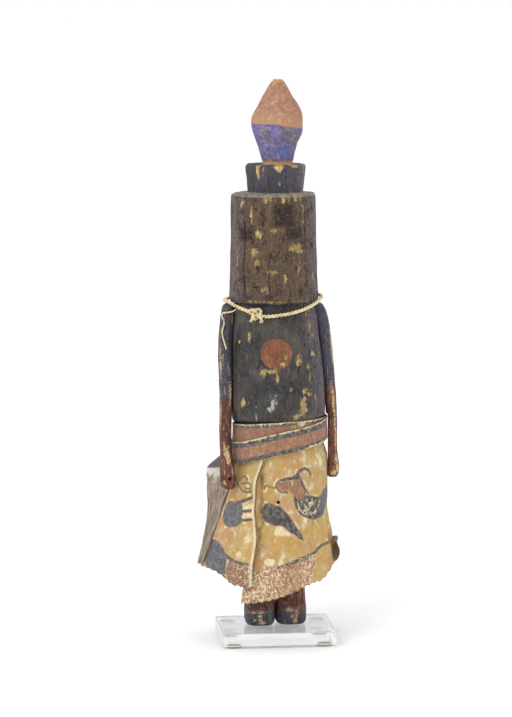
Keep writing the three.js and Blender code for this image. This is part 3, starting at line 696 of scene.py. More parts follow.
def inside_line(across, height, line, width):
    """Half a brush line's width, less the distance to the nearest of its stretches. The width
    goes evenly from that of its start to that of its end."""
    line = np.asarray(line, float)
    widths = np.linspace(*np.broadcast_to(width, 2), len(line))
    inside = np.full(across.shape, -1e3)
    for k in range(len(line) - 1):
        (x0, y0), (dx, dy) = line[k], line[k + 1] - line[k]
        t = np.clip(((across - x0) * dx + (height - y0) * dy) / (dx * dx + dy * dy), 0, 1)
        gap = np.hypot(across - x0 - t * dx, height - y0 - t * dy)
        inside = np.maximum(inside, mix(widths[k], widths[k + 1], t) / 2 - gap)
    return inside


def inside_spots(across, height, spots):
    """How far inside the nearest oval spot, each spot [across, height, half width, half height]:
    one less the ellipse's own radius, times its smaller half."""
    inside = np.full(across.shape, -1e3)
    for x, y, half_width, half_height in spots:
        radius = np.hypot((across - x) / half_width, (height - y) / half_height)
        inside = np.maximum(inside, (1 - radius) * min(half_width, half_height))
    return inside


# Meshes


def placed(points):
    """Points in mm from the doll's axis and soles, put into the frame in metres."""
    return AXIS + MM * np.asarray(points, float)


def grid_faces(rows, columns, around):
    """Faces of a grid whose rows go up and whose columns go to the right, so they point out."""
    index = np.arange(rows * columns).reshape(rows, columns)
    left = index if around else index[:, :-1]
    right = np.roll(index, -1, axis=1) if around else index[:, 1:]
    return np.stack([left[:-1], right[:-1], right[1:], left[1:]], axis=-1).reshape(-1, 4)


def grid_surface(points, around=False, caps=False, keep=None, **values):
    """One patch of a mesh: its points, its faces, and values at its points, or one for each row,
    each column or the whole grid. caps closes both ends of a grid that goes around with a fan to
    their middles. keep picks the faces that stay."""
    shape = rows, columns = points.shape[:2]
    values = {name: np.broadcast_to(np.asarray(v, float), shape) for name, v in values.items()}
    faces = grid_faces(rows, columns, around)
    if keep is not None:
        faces = faces[keep.reshape(-1)]
    patch = {"points": points.reshape(-1, 3), "quads": faces, "triangles": np.empty((0, 3), int)}
    patch["values"] = {name: v.reshape(-1) for name, v in values.items()}
    if caps:
        middles = points[[0, -1]].mean(axis=1)
        patch["points"] = np.concatenate([patch["points"], middles])
        ring = np.arange(columns)
        after = np.roll(ring, -1)
        last = (rows - 1) * columns
        low = np.column_stack([after, ring, np.full(columns, rows * columns)])
        high = np.column_stack([ring + last, after + last, np.full(columns, rows * columns + 1)])
        patch["triangles"] = np.concatenate([low, high])
        for name, v in values.items():
            ends = v[[0, -1]].mean(axis=1)
            patch["values"][name] = np.concatenate([patch["values"][name], ends])
    return patch


def build_mesh(name, patches, materials, uv=None):
    """One object from patches, in the frame in metres, its faces smooth, with its values as point
    attributes, FAR where a patch has none. A patch's material number is its "material", and uv
    names two of its values."""
    points, faces, numbers, start = [], [], [], 0
    for patch in patches:
        points.append(patch["points"])
        own = (patch["quads"] + start).tolist() + (patch["triangles"] + start).tolist()
        faces += own
        numbers.append(np.broadcast_to(patch.get("material", 0), len(own)))
        start += len(patch["points"])
    mesh = bpy.data.meshes.new(name)
    mesh.from_pydata(placed(np.concatenate(points)), [], faces)
    mesh.polygons.foreach_set("use_smooth", np.ones(len(faces), bool))
    mesh.polygons.foreach_set("material_index", np.concatenate(numbers).astype(np.int32))
    for value in dict.fromkeys(key for patch in patches for key in patch["values"]):
        layer = mesh.attributes.new(value, "FLOAT", "POINT")
        data = [
            patch["values"].get(value, np.full(len(patch["points"]), FAR)) for patch in patches
        ]
        layer.data.foreach_set("value", np.concatenate(data).astype(np.float32))
    if uv:
        corners = np.empty(len(mesh.loops), np.int32)
        mesh.loops.foreach_get("vertex_index", corners)
        flat = [np.concatenate([patch["values"][value] for patch in patches]) for value in uv]
        layer = mesh.uv_layers.new(name="flat")
        layer.data.foreach_set("uv", (np.column_stack(flat)[corners] * MM).ravel())
    mesh.update()
    made = bpy.data.objects.new(name, mesh)
    bpy.context.scene.collection.objects.link(made)
    for material in materials:
        mesh.materials.append(material)
    return made


def thicken(made, thickness, lining=0):
    """Gives a sheet its thickness inwards. lining is how far its inner face's material is along."""
    solid = made.modifiers.new("thickness", "SOLIDIFY")
    solid.thickness = thickness * MM
    solid.offset = -1
    solid.use_even_offset = False
    solid.material_offset = lining


def finish_piece(made, slot, *nodes):
    """Puts a piece on the frame's one body, in place of its own plain solids."""
    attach(made, "root")
    if nodes:
        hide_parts(*nodes)
    return made


# Materials


def linear(code):
    """An sRGB hex colour as linear red, green and blue."""
    share = np.array([int(code[i : i + 2], 16) for i in (1, 3, 5)]) / 255
    return tuple(np.where(share <= 0.04045, share / 12.92, ((share + 0.055) / 1.055) ** 2.4))


def shade(colour, factor=1.0):
    """A hex or linear colour made lighter or darker, as a node takes it."""
    colour = linear(colour) if isinstance(colour, str) else colour
    return (*(min(1.0, c * factor) for c in colour), 1.0)


def add(tree, kind, inputs=None, **settings):
    """Adds a node. settings are its own, and inputs are its sockets by name or number, each with a
    value or with another node's output."""
    made = tree.nodes.new("ShaderNode" + kind)
    for name, value in settings.items():
        setattr(made, name, value)
    for key, value in (inputs or {}).items():
        if isinstance(value, bpy.types.NodeSocket):
            tree.links.new(value, made.inputs[key])
        else:
            made.inputs[key].default_value = value
    return made


def start_material(name, **uniform):
    """An empty material, with its shader's uniform values set on its own sockets."""
    material = bpy.data.materials.new(name)
    material.use_nodes = True
    tree = material.node_tree
    tree.nodes.clear()
    shader = add(tree, "BsdfPrincipled", {key.replace("_", " "): v for key, v in uniform.items()})
    add(tree, "OutputMaterial", {"Surface": shader.outputs[0]})
    return material, tree, shader


# Paint grit, wood pores and hide nap are about 0.1 mm, too fine to show from where the doll is
# seen, so the finest noise of each is drawn at 0.7 to 1 mm, and hairs and fibres at 0.3 to 0.5 mm.
# The larger noises have the real size of the chips, brush marks and washes.
def grain(tree, size, stretch=1.0, detail=4, roughness=0.6, flat=False):
    """Noise with features of size mm, from 0 to 1, drawn out by stretch along z, or along the
    sheet's or the strand's own length where flat."""
    place = add(tree, "TexCoord").outputs["UV" if flat else "Object"]
    scale = (1, 1 / stretch, 1) if flat else (1, 1, 1 / stretch)
    drawn = add(tree, "Mapping", {"Vector": place, "Scale": scale})
    settings = {"Vector": drawn.outputs[0], "Scale": 1 / (size * MM), "Detail": detail}
    return add(tree, "TexNoise", {**settings, "Roughness": roughness}).outputs["Fac"]


def coats(tree, ground, *layers):
    """Coats of paint, one over another, each [colour, cover, worn, wear, edge]. cover is mm inside
    the coat's own edge, a number or one of the mesh's values by its name. worn is a noise that
    moves that edge by up to wear mm, and the coat thins out over edge mm. Gives the new colour."""
    ground = shade(ground) if isinstance(ground, str) else ground
    for colour, cover, worn, wear, edge in layers:
        colour = shade(colour) if isinstance(colour, str) else colour
        if isinstance(cover, str):
            cover = add(tree, "Attribute", attribute_name=cover).outputs["Fac"]
        bite = add(tree, "Math", {0: worn, 1: 0.5}, operation="SUBTRACT").outputs[0]
        left = {0: bite, 1: 4 * wear, 2: cover}
        left = add(tree, "Math", left, operation="MULTIPLY_ADD").outputs[0]
        inputs = {"Value": left, "From Min": -edge, "From Max": edge}
        here = add(tree, "MapRange", inputs, interpolation_type="SMOOTHSTEP").outputs[0]
        ground = add(tree, "Mix", {0: here, 6: ground, 7: colour}, data_type="RGBA").outputs[2]
    return ground


def give_surface(tree, shader, colour, rough, relief):
    """Links a shader's colour, its roughness as [noise, low, high], and its relief as a list of
    [height, depth in mm]."""
    tree.links.new(colour, shader.inputs["Base Color"])
    noise, low, high = rough
    inputs = {"Value": noise, "From Min": 0.3, "From Max": 0.7, "To Min": low, "To Max": high}
    tree.links.new(add(tree, "MapRange", inputs).outputs[0], shader.inputs["Roughness"])
    normal = None
    for height, depth in relief:
        inputs = {"Height": height, "Distance": depth * MM, "Strength": 1.0}
        if normal:
            inputs["Normal"] = normal
        normal = add(tree, "Bump", inputs).outputs[0]
    tree.links.new(normal, shader.inputs["Normal"])


def soot_paint(name, black, cool, dusty, wood, worn, red):
    """Soot black in a weak glue, brushed on carved cottonwood root: matt, thin on the ridges of
    the cuts, rubbed through along the grain and chipped to the pale yellow wood. worn from 0 to 1
    moves every rubbed place out. red is the clay of the disc on the chest."""
    material, tree, shader = start_material(name, Specular_IOR_Level=0.22)
    fine = grain(tree, 0.8, 1.5, 6, 0.8)
    flecks = grain(tree, 1.9, 1.6, 8, 0.85)
    long = grain(tree, 1.4, 7, 7, 0.72)
    patches = grain(tree, 5, 1.5, 8, 0.75)
    broad = grain(tree, 9, 1.6, 6, 0.65)
    wash = grain(tree, 24, 1.2, 5)
    dust = coats(tree, "#96918a", (shade(black, 0.8), -0.15, flecks, 1.6, 0.5))
    clay = coats(
        tree,
        shade(red),
        (shade(red, 0.6), -0.15, broad, 0.9, 0.6),
        (shade(red, 0.35), -0.35, flecks, 1.0, 0.5),
        ("#ab7f5c", -0.6, flecks, 1.9, 0.5),
    )
    bare = coats(
        tree,
        shade(wood),
        (shade(wood, 0.4), -0.1, fine, 1.0, 0.5),
        ("#dcc68c", -0.4, long, 1.2, 0.5),
    )
    colour = coats(
        tree,
        shade(black),
        (shade(cool), 0.0, broad, 0.9, 0.5),
        (shade(black, 0.3), -0.25, flecks, 1.2, 0.5),
        (shade(cool, 1.9), -0.55, fine, 1.2, 0.5),
        (shade(dusty, 0.7), -0.45, long, 1.0, 0.5),
        (shade(dusty), worn - 0.75, wash, 1.8, 0.9),
        ("#4f3f37", worn - 0.65, broad, 1.5, 0.6),
        ("#6c5636", worn - 0.95, flecks, 1.9, 0.5),
        # Painted sheen: lighter grey towards the sides of the body, mostly on its right
        ("#6b6168", "side", flecks, 2.6, 1.2),
        (shade(black, 0.5), worn - 1.0, patches, 1.9, 0.5),
        (dust, "dust", broad, 0.5, 0.5),
        (shade(black, 0.55), "dark", flecks, 2.4, 2.0),
        (clay, "disc", flecks, 1.1, 0.35),
        (shade(wood, 0.5), worn - 1.45, long, 2.2, 0.5),
        (shade(wood, 0.9), worn - 1.6, fine, 2.8, 0.4),
        (shade(wood, 0.8), worn - 1.95, flecks, 3.0, 0.4),
        ("#9fa19f", "white", flecks, 3.0, 0.7),
        (bare, "bare", flecks, 3.0, 0.35),
        (shade(black, 0.15), "crack", fine, 0.25, 0.25),
    )
    give_surface(tree, shader, colour, (wash, 0.6, 0.85), [(flecks, 0.3), (long, 0.2), (fine, 0.12)])
    return material


def earth_paint(name, orange, blue, wood):
    """Two earth paints on carved root: a thin pinkish orange above, and below an opaque chalky
    blue violet, brushed greyer at one side, chipped to the wood at the foot and the tip."""
    material, tree, shader = start_material(name, Specular_IOR_Level=0.25)
    fine = grain(tree, 1.0, 1, 7, 0.78)
    long = grain(tree, 1.5, 0.6, 7, 0.78)
    patchy = grain(tree, 3.4, 0.8, 5, 0.7)
    broad = grain(tree, 6, 1, 6, 0.7)
    pink = coats(
        tree,
        shade(orange),
        (shade(orange, 0.7), 0.0, broad, 0.9, 0.6),
        ("#b28a63", "low_orange", broad, 7.0, 3.0),
        (shade(orange, 0.55), -0.4, fine, 1.2, 0.5),
        ("#9c6f63", -0.1, patchy, 1.0, 0.5),
        ("#8b6c79", -0.7, broad, 1.4, 0.6),
        ("#c79c6e", -0.5, patchy, 1.3, 0.7),
        ("#d0ab84", -0.7, long, 1.4, 0.5),
    )
    violet = coats(
        tree,
        shade(blue),
        ("#645d8b", -0.1, broad, 0.9, 0.6),
        ("#5a6aa8", "bright", broad, 2.0, 2.0),
        ("#6f686c", "grey", broad, 3.4, 2.4),
        ("#56506a", -0.2, patchy, 1.1, 0.4),
        ("#4b4563", -0.5, fine, 1.2, 0.5),
        ("#a69dbf", -0.75, long, 1.5, 0.5),
    )
    bare = coats(tree, shade(wood), (shade(wood, 0.7), 0.0, long, 0.9, 0.4))
    colour = coats(
        tree,
        pink,
        (violet, "blue", long, 1.4, 0.3),
        (bare, "bare", fine, 1.8, 0.4),
        (shade(wood, 0.9), -1.5, long, 2.6, 0.4),
    )
    give_surface(tree, shader, colour, (broad, 0.6, 0.85), [(broad, 0.5), (long, 0.3), (fine, 0.2)])
    return material


def limb_paint(name, black, red, wood, chips):
    """Earth red below and soot black above on carved root, both rubbed through by handling, so
    that yellow wood and pale ground show along the ridges."""
    material, tree, shader = start_material(name, Specular_IOR_Level=0.35)
    fine = grain(tree, 0.7, 2, 6, 0.7)
    long = grain(tree, 1.3, 9, 6)
    broad = grain(tree, 6, 3, 5)
    earth = coats(
        tree,
        shade(red),
        (shade(red, 0.42), 0.1, broad, 1.0, 0.6),
        (shade(red, 0.25), -0.35, fine, 1.1, 0.5),
        ("#9a6a52", -0.65, long, 1.6, 0.6),
    )
    bare = coats(tree, shade(wood), ("#c4ad84", 0.0, fine, 1.4, 0.5))
    colour = coats(
        tree,
        shade(black),
        ("#3c4153", -0.1, broad, 0.9, 0.6),
        (shade(black, 0.35), -0.2, fine, 1.1, 0.5),
        (shade("#77707a", 0.8), -0.45, fine, 1.5, 0.6),
        (earth, "red", broad, 9.0, 2.0),
        (shade(wood, 0.8), -1.6 + chips, long, 2.6, 0.5),
        (bare, "bare", fine, 2.2, 0.5),
        (shade("#5d6157", 0.8), "moss", fine, 0.9, 0.6),
        # Dark paint in drying cracks, and painted shade inside the fists' grip holes
        (shade(black, 0.2), "crack", fine, 0.2, 0.3),
    )
    give_surface(tree, shader, colour, (broad, 0.45, 0.7), [(long, 0.2), (fine, 0.1)])
    return material


def painted_hide(name, paints):
    """Soft tanned hide with earth paints brushed on its smooth side: dead matt, the paint thin
    and cracked, so that the cream hide shows in specks and along the strokes."""
    sheen = {"Sheen_Weight": 0.1, "Sheen_Roughness": 0.6}
    material, tree, shader = start_material(name, Specular_IOR_Level=0.2, **sheen)
    fine = grain(tree, 0.9, 1, 7, 0.78)
    dots = grain(tree, 1.6, 1.2, 6, 0.75)
    specks = grain(tree, 2.6, 1, 8, 0.86)
    brush = grain(tree, 2.8, 2, 7, 0.72)
    broad = grain(tree, 8, 1.3, 7, 0.7)
    wash = grain(tree, 24, 1.2, 4)
    cream, black, ochre = paints.cream, paints.black, paints.ochre
    field = coats(
        tree,
        shade(ochre),
        (shade(ochre, 0.72), -0.1, wash, 0.9, 0.9),
        (shade(cream, 0.72), -0.3, broad, 1.0, 0.7),
        ("#a3804a", -0.4, brush, 1.0, 0.6),
        ("#b98d6b", -0.9, wash, 2.2, 1.2),
        (shade(cream, 0.95), -0.9, broad, 1.9, 0.5),
        (shade(cream, 1.05), -0.85, brush, 1.5, 0.4),
        ("#8a6d40", -0.9, fine, 1.3, 0.4),
    )
    red = coats(
        tree,
        shade(paints.red),
        ("#6d5046", -0.1, specks, 0.9, 0.6),
        ("#a98a52", -0.4, brush, 1.2, 0.5),
        ("#bd9078", -0.3, fine, 1.1, 0.5),
        ("#b18a66", "tan", brush, 2.4, 0.9),
        (shade(cream, 0.85), -1.15, specks, 1.7, 0.4),
    )
    soot = coats(
        tree,
        shade(black),
        (shade(black, 0.5), -0.1, brush, 0.9, 0.6),
        (shade(paints.blue), "blue", broad, 2.6, 1.5),
        (shade(black, 0.35), -0.3, fine, 1.0, 0.5),
        ("#857e74", -0.2, specks, 1.3, 0.5),
        (shade(cream, 0.8), -1.0, fine, 1.7, 0.4),
    )
    bare = coats(
        tree,
        shade(cream),
        ("#c5b28b", -0.15, brush, 1.0, 0.6),
        ("#a39178", -0.6, specks, 1.4, 0.4),
    )
    colour = coats(
        tree,
        shade(cream),
        (shade(cream, 0.74), 0.0, broad, 0.9, 0.6),
        (field, "ochre", brush, 2.2, 0.4),
        (red, "red", brush, 1.2, 0.4),
        (soot, "dark", specks, 1.0, 0.5),
        (bare, "cream", specks, 2.8, 0.4),
        (shade(cream, 1.05), "speck", dots, 3.6, 0.6),
        ("#5f483d", "speck_dark", fine, 2.6, 0.4),
        # Painted shade in the kilt's gutter and on its rolled corner; on the belt, darker over its first
        # turn
        ("#5c4a37", "grime", brush, 2.0, 1.6),
    )
    relief = [(broad, 0.8), (brush, 0.4), (fine, 0.2)]
    give_surface(tree, shader, colour, (broad, 0.75, 0.95), relief)
    return material


def shaded_hide_lining(name, cream):
    """The flesh side of the hide: unpainted, a soft grey tan nap in patches, made far darker than the
    bare hide as painted shade, for the shadowed inside of the kilt's rolled corner.
    """
    sheen = {"Sheen_Weight": 0.3, "Sheen_Roughness": 0.5}
    material, tree, shader = start_material(name, Specular_IOR_Level=0.15, **sheen)
    nap = grain(tree, 0.9, 1, 5)
    broad = grain(tree, 9, 1, 4)
    colour = coats(
        tree,
        shade(cream, 0.34),
        ("#6b5347", 0.5, broad, 0.9, 0.8),
        ("#4f3e36", -0.4, nap, 1.0, 0.6),
    )
    give_surface(tree, shader, colour, (broad, 0.85, 1.0), [(nap, 0.25)])
    return material


def pelt_fur(name, pale, dark):
    """Short coarse animal hair lying down the hide: pale tan at its tips, grey brown beneath,
    in flowing locks, with a low sheen."""
    sheen = {"Sheen_Weight": 0.35, "Sheen_Roughness": 0.4}
    material, tree, shader = start_material(name, Specular_IOR_Level=0.3, **sheen)
    hairs = grain(tree, 0.5, 16, 3, 0.7, flat=True)
    locks = grain(tree, 2.2, 9, 4, 0.6, flat=True)
    broad = grain(tree, 14, 2, 3, flat=True)
    colour = coats(
        tree,
        shade(pale),
        (shade(dark), -0.15, locks, 0.9, 0.6),
        (shade(dark, 0.75), -0.35, hairs, 1.0, 0.5),
        (shade(pale, 1.15), -0.7, hairs, 1.3, 0.5),
        # Painted shade: darker towards the pelt's lower part
        (shade(dark, 0.85), "low", broad, 8.0, 9.0),
        ("#5d565f", "skin", locks, 0.8, 0.6),
        ("#c9c2b8", "fold", hairs, 0.5, 0.4),
    )
    give_surface(tree, shader, colour, (locks, 0.5, 0.8), [(locks, 0.5), (hairs, 0.3)])
    return material


def single_hair(name, pale, dark):
    """Single hairs of the pelt: each one shade between tan and grey brown, softly glossy."""
    uniform = {"Specular_IOR_Level": 0.35, "Roughness": 0.5, "Sheen_Weight": 0.2}
    material, tree, shader = start_material(name, **uniform)
    share = add(tree, "Attribute", attribute_name="shade").outputs["Fac"]
    mixed = add(tree, "Mix", {0: share, 6: shade(dark), 7: shade(pale)}, data_type="RGBA")
    tree.links.new(mixed.outputs[2], shader.inputs["Base Color"])
    return material


def plant_fibre(name, pale):
    """Hand-twisted plant fibre: pale straw, matt, its fibres running along each strand, with
    brown dirt in the lay."""
    sheen = {"Sheen_Weight": 0.3, "Sheen_Roughness": 0.5}
    material, tree, shader = start_material(name, Specular_IOR_Level=0.25, **sheen)
    fibres = grain(tree, 0.3, 14, 3, 0.7, flat=True)
    dirt = grain(tree, 3, 1, 5)
    colour = coats(
        tree,
        shade(pale),
        (shade(pale, 0.6), -0.2, fibres, 1.0, 0.6),
        ("#a3824f", -0.45, dirt, 1.2, 0.6),
        (shade(pale, 1.25), -0.6, fibres, 1.2, 0.5),
    )
    give_surface(tree, shader, colour, (dirt, 0.7, 0.9), [(fibres, 0.22)])
    return material


def bumper_rubber(name, colour):
    """Moulded polyurethane bumper: soft, slightly cloudy and a little yellowed."""
    inside = {"Subsurface_Weight": 0.2, "Subsurface_Scale": MM}
    material, tree, shader = start_material(name, Roughness=0.35, IOR=1.5, **inside)
    tint = coats(tree, shade(colour), (shade(colour, 0.85), 0.0, grain(tree, 4, 1, 3), 0.8, 0.8))
    tree.links.new(tint, shader.inputs["Base Color"])
    return material


def clear_acrylic(name):
    """Cast acrylic sheet, sawn and flame-polished: clear and glossy, by plain values. Part of the
    light goes straight on, so that the floor below is as bright as real acrylic leaves it."""
    look = {"Base_Color": (0.97, 0.985, 0.98, 1), "Roughness": 0.06, "IOR": 1.49}
    return start_material(name, Transmission_Weight=1.0, Alpha=0.75, **look)[0]


# Shapes of the carving


def dense(table, *stretches):
    """Rows of a section table at close heights: each stretch is [from, to, count]."""
    heights = np.concatenate([np.linspace(*stretch) for stretch in stretches])
    return np.column_stack([heights, through(table, heights)])


def over_grid(rows, angle):
    """A table's columns and the angles, each spread over the whole grid of rows and angles."""
    spread = np.zeros((len(rows), len(angle)))
    return [*(column[:, None] + spread for column in rows.T), angle + spread]


def blade_marks(kind, turn, height, seed):
    """Height of the blade's hollows and ridges, about the wood's own level. turn is in degrees."""
    count, length = BLADE_MARKS[kind]
    return scoops(turn / 360 * count, height / length, seed, count) - MARK_LEVEL


def wood_waves(kind, points):
    """Height of the wood's long bumps, or of the grain that stands up along it."""
    height, size, seed, stretch = WOOD_WAVES[kind]
    return height * ripple(points, size, seed, stretch=(1, 1, stretch))


def body_rows():
    """Rows of the body's grid from hips to tip, [height, x, half width, half depth, lean, power,
    zone]: sections of the trunk, mask, knob and finial, with level shelves between them."""
    trunk = dense(TORSO, (62, 126, 12), (130, 146.5, 8), (146.9, 148.4, 5), (149.2, 230.2, 70))
    mask = dense(MASK, (229.6, 230.4, 3), (231.4, 301.5, 84), (302.2, 304.4, 6))
    knob = dense(KNOB, (305.8, 324.8, 21))
    finial = dense(FINIAL, (325, 383.4, 54))
    shelf = np.linspace(0, 1, 10)[1:-1, None]
    parts = [
        (trunk, 2, ZONES["trunk"]),
        (mask, 2, ZONES["mask"]),
        (mix(mask[-1], knob[0], shelf), 2, ZONES["mask"]),
        (knob, 2, ZONES["knob"]),
        (mix(knob[-1], finial[0], shelf), mix(2, FINIAL_POWER, shelf), ZONES["knob"]),
        (finial, FINIAL_POWER, ZONES["finial"]),
    ]
    return np.concatenate(
        [
            np.column_stack([rows, np.ones((len(rows), 1)) * power, np.full(len(rows), zone)])
            for rows, power, zone in parts
        ]
    )


def body_surface(blade):
    """Grid of the carved body, rows of superellipses stacked up the axis. Blade marks, long low
    bumps, cracks, chips and worn edges are then cut along its normals."""
    front = np.linspace(-FINE_FRONT, FINE_FRONT, BODY_COLUMNS["front"])
    back = np.linspace(FINE_FRONT, 360 - FINE_FRONT, BODY_COLUMNS["back"])[1:-1]
    grid = over_grid(body_rows(), np.concatenate([front, back]))
    height, x, half_width, half_depth, lean, power, zone, angle = grid
    across, along = superellipse(np.radians(angle), half_width, half_depth, power)
    level = height + lean * across
    points = np.stack([x + across, along, level], axis=-1)
    round_mm = NOMINAL_RADIUS * np.radians((angle + 180) % 360 - 180)
    values = body_paint(round_mm, level, zone)
    out = grid_normals(points, around=True)
    sides = 1 - np.abs(out[..., 2]) * 0.7
    cut = blade_marks("body", angle % 360, level, BODY_SEED)
    cut = cut * np.where(zone == ZONES["finial"], FINIAL_CUT, 1)
    depth = blade * cut * sides + wood_waves("bumps", points)
    depth += wood_waves("body", points) * sides
    swell = HIP["height"] * bump(angle % 360 - HIP["angle"], HIP["spread"])
    depth += swell * ease(level, *HIP["low"]) * (1 - ease(level, *HIP["high"]))
    depth -= CHIP_DEPTH["body"] * ease(values["bare"], *CHIP_EDGE)
    depth -= CRACK_DEPTH * ease(values["crack"], *CRACK_EDGE)
    outside = np.hypot(across, along) > RIMS_OUTSIDE
    rims = sum(worn * np.exp(-((level - rim) ** 2) / spread) for rim, worn, spread in WORN_RIMS)
    depth -= rims * (0.35 + 0.45 * ripple(points, 6, 9)) * outside
    notch = bump(round_mm - NOTCH["across"], NOTCH["width"]) * ease(level, *NOTCH["heights"])
    depth -= NOTCH["depth"] * notch * (zone == ZONES["knob"]) * outside
    return points + out * depth[..., None], zone, values


def crack_depth(round_mm, height, cracks):
    """How far inside the nearest drying crack: each is [across, low, high, width], wanders by a
    slow wave and closes at both its ends."""
    inside = np.full(round_mm.shape, -5.0)
    for place, low, high, width in cracks:
        middle = place + 0.5 * np.sin(height / 7 + place) + 0.25 * np.sin(height / 2.3)
        ends = np.minimum(height - low, high - height) * 0.12
        inside = np.maximum(inside, np.minimum(width / 2, ends) - np.abs(round_mm - middle))
    return inside


def body_paint(round_mm, height, zone):
    """Painted and worn areas of the body, and a painted sheen at its sides, by mm round it and height."""
    mask, finial = zone == ZONES["mask"], zone == ZONES["finial"]
    x, y, radius = CHEST_DISC
    seam = BLUE_TOP["height"] - BLUE_TOP["fall"] * np.clip(round_mm / 35, -0.2, 1)
    patches = [
        np.minimum(w - np.abs(round_mm - x), h - np.abs(height - y)) for x, y, w, h in MASK_PATCHES
    ]
    flakes = np.max([inside_shape(round_mm, height, outline) for outline in KNOB_FLAKES], axis=0)
    chips = inside_spots(round_mm, height, BODY_CHIPS) - 0.15
    chips = np.where(zone == ZONES["knob"], np.maximum(chips, 1.6 * flakes + 0.6), chips)
    foot = FINIAL_BARE["foot"] - height + 0.5 * np.sin(round_mm)
    ends = np.where(finial, np.maximum(height - FINIAL_BARE["tip"], foot), FAR)
    rim = 0.5 - np.abs(height - MASK_RIM["height"]) - 0.45 * np.abs(np.sin(round_mm * 0.19))
    rim = np.where(mask & (np.abs(round_mm) < MASK_RIM["reach"]), rim, FAR)
    # A painted sheen towards the sides: on the right of the whole body, and faintly on the mask's left
    side_sheen = np.where(round_mm > 0, PAINTED_SIDE_SHEEN["right"], np.where(mask, PAINTED_SIDE_SHEEN["left_mask"], FAR))
    return {
        "disc": radius - np.hypot(round_mm - x, height - y),
        "bare": np.maximum(np.maximum(chips, ends), rim),
        "white": inside_spots(round_mm, height, WHITE_SMEARS) - 0.4,
        "dust": np.where(mask, height - MASK_TOP, FAR) * 1.5,
        "dark": np.max(patches, axis=0),
        "crack": crack_depth(round_mm, height, BODY_CRACKS),
        "blue": seam - height,
        "low_orange": seam + 7 - height,
        "grey": inside_spots(round_mm, height, GREY_BLUE),
        "bright": inside_spots(round_mm, height, BRIGHT_BLUE),
        "side": side_sheen - np.abs(np.abs(round_mm) - PAINTED_SIDE_SHEEN["across"]) * PAINTED_SIDE_SHEEN["fade"],
    }


def leg_surface(side):
    """Grid of one leg: boxy superellipses from the sole up, cut by blade marks, with the shoe's
    black and its chips."""
    stance = LEGS[side]
    rows = dense(LEG, (0, 1.2, 4), (1.8, 75, 70))
    grid = over_grid(rows, np.linspace(-180, 180, LEG_COLUMNS, endpoint=False))
    height, half_width, half_depth, y, angle = grid
    half_width = half_width * stance["wide"]
    across, along = superellipse(np.radians(angle), half_width, half_depth, LEG_POWER)
    points = np.stack([stance["x"] + across, y - stance["forward"] + along, height], axis=-1)
    chips = inside_spots(across, height, SHOE_CHIPS[side])
    chips = np.where(np.abs(angle) < SHOE_FRONT["chips"], chips, FAR)
    moss = inside_spots(across, height, SHOE_MOSS[side])
    cut = blade_marks("leg", angle + 180, height, LEG_SEED)
    depth = 0.5 * cut * ease(height, 0.5, 3) - CHIP_DEPTH["leg"] * ease(chips, *CHIP_EDGE)
    depth += wood_waves("leg", points)
    depth -= SOLE_ROUNDING["depth"] * bump(height, SOLE_ROUNDING["height"])
    out = grid_normals(points, around=True)
    values = {
        "bare": chips,
        "red": height - stance["shoe"] + 0.25 * across * stance["slant"],
        "moss": np.where(np.abs(angle) < SHOE_FRONT["moss"], moss, FAR),
        "crack": crack_depth(LEG_RADIUS * np.radians(angle), height, LEG_CRACKS),
    }
    return points + out * depth[..., None], values


def arm_surface(arm):
    """Grid of one arm, cut by blade marks, its inner side pressed flat against the trunk and the
    dress: where a point would lie inside them, its reach from the waist is made as long as
    theirs. A fist's grip is a round hole sunk along the normals, and painted dark inside as
    painted shade."""
    low, high = arm["rows"][0][0], arm["rows"][-1][0]
    rows = dense(arm["rows"], (low, low + 3, 9), (low + 3.6, high - 3, 190), (high - 2.4, high, 8))
    grid = over_grid(rows, np.linspace(-180, 180, ARM_COLUMNS, endpoint=False))
    height, x, y, half_width, half_depth, angle = grid
    across, along = superellipse(np.radians(angle), half_width, half_depth, ARM_POWER)
    points = np.stack([x + across, y + along, height], axis=-1)
    round_mm = ARM_RADIUS * np.radians(angle)
    chips = inside_spots(round_mm, height, arm["chips"])
    grip_x, grip_z, grip_radius = arm["grip"]
    from_grip = np.hypot(round_mm - grip_x, height - grip_z)
    cut = blade_marks("arm", angle + 180, height, arm["seed"])
    depth = 0.45 * cut - CHIP_DEPTH["arm"] * ease(chips, *CHIP_EDGE)
    depth += wood_waves("arm", points)
    for knuckle in arm["knuckles"]:
        crease = bump(height - knuckle, KNUCKLES["width"]) * (np.abs(angle) < KNUCKLES["reach"])
        depth -= KNUCKLES["depth"] * crease
    depth -= arm["hole"] * ease(grip_radius - from_grip, -0.3, 0.9)
    points = points + grid_normals(points, around=True) * depth[..., None]
    from_waist = points[..., :2] - [KILT["centre"], 0]
    reach = np.linalg.norm(from_waist, axis=-1)
    turn = np.degrees(np.arctan2(from_waist[..., 0], -from_waist[..., 1]))
    room = dress_reach(turn, points[..., 2]) + CLEARANCE
    grown = np.maximum(reach, room) / reach
    points[..., :2] = [KILT["centre"], 0] + from_waist * grown[..., None]
    values = {
        "bare": chips,
        "red": arm["red_below"] - height,
        "moss": FAR,
        # The grip hole is painted dark inside: painted shade
        "crack": grip_radius - 0.35 - from_grip,
    }
    return points, values


# Shapes of the dress and the string


def kilt_angles():
    """Angles of the kilt's columns, closer together over the front, where its picture is."""
    front = np.linspace(KILT["start"], KILT_FINE["right"], KILT_FINE["front"])
    back = np.linspace(KILT_FINE["right"], KILT_FINE["left"], KILT_FINE["back"])[1:-1]
    left = np.linspace(KILT_FINE["left"], KILT["end"], KILT_FINE["side"])
    return np.concatenate([front, back, left])


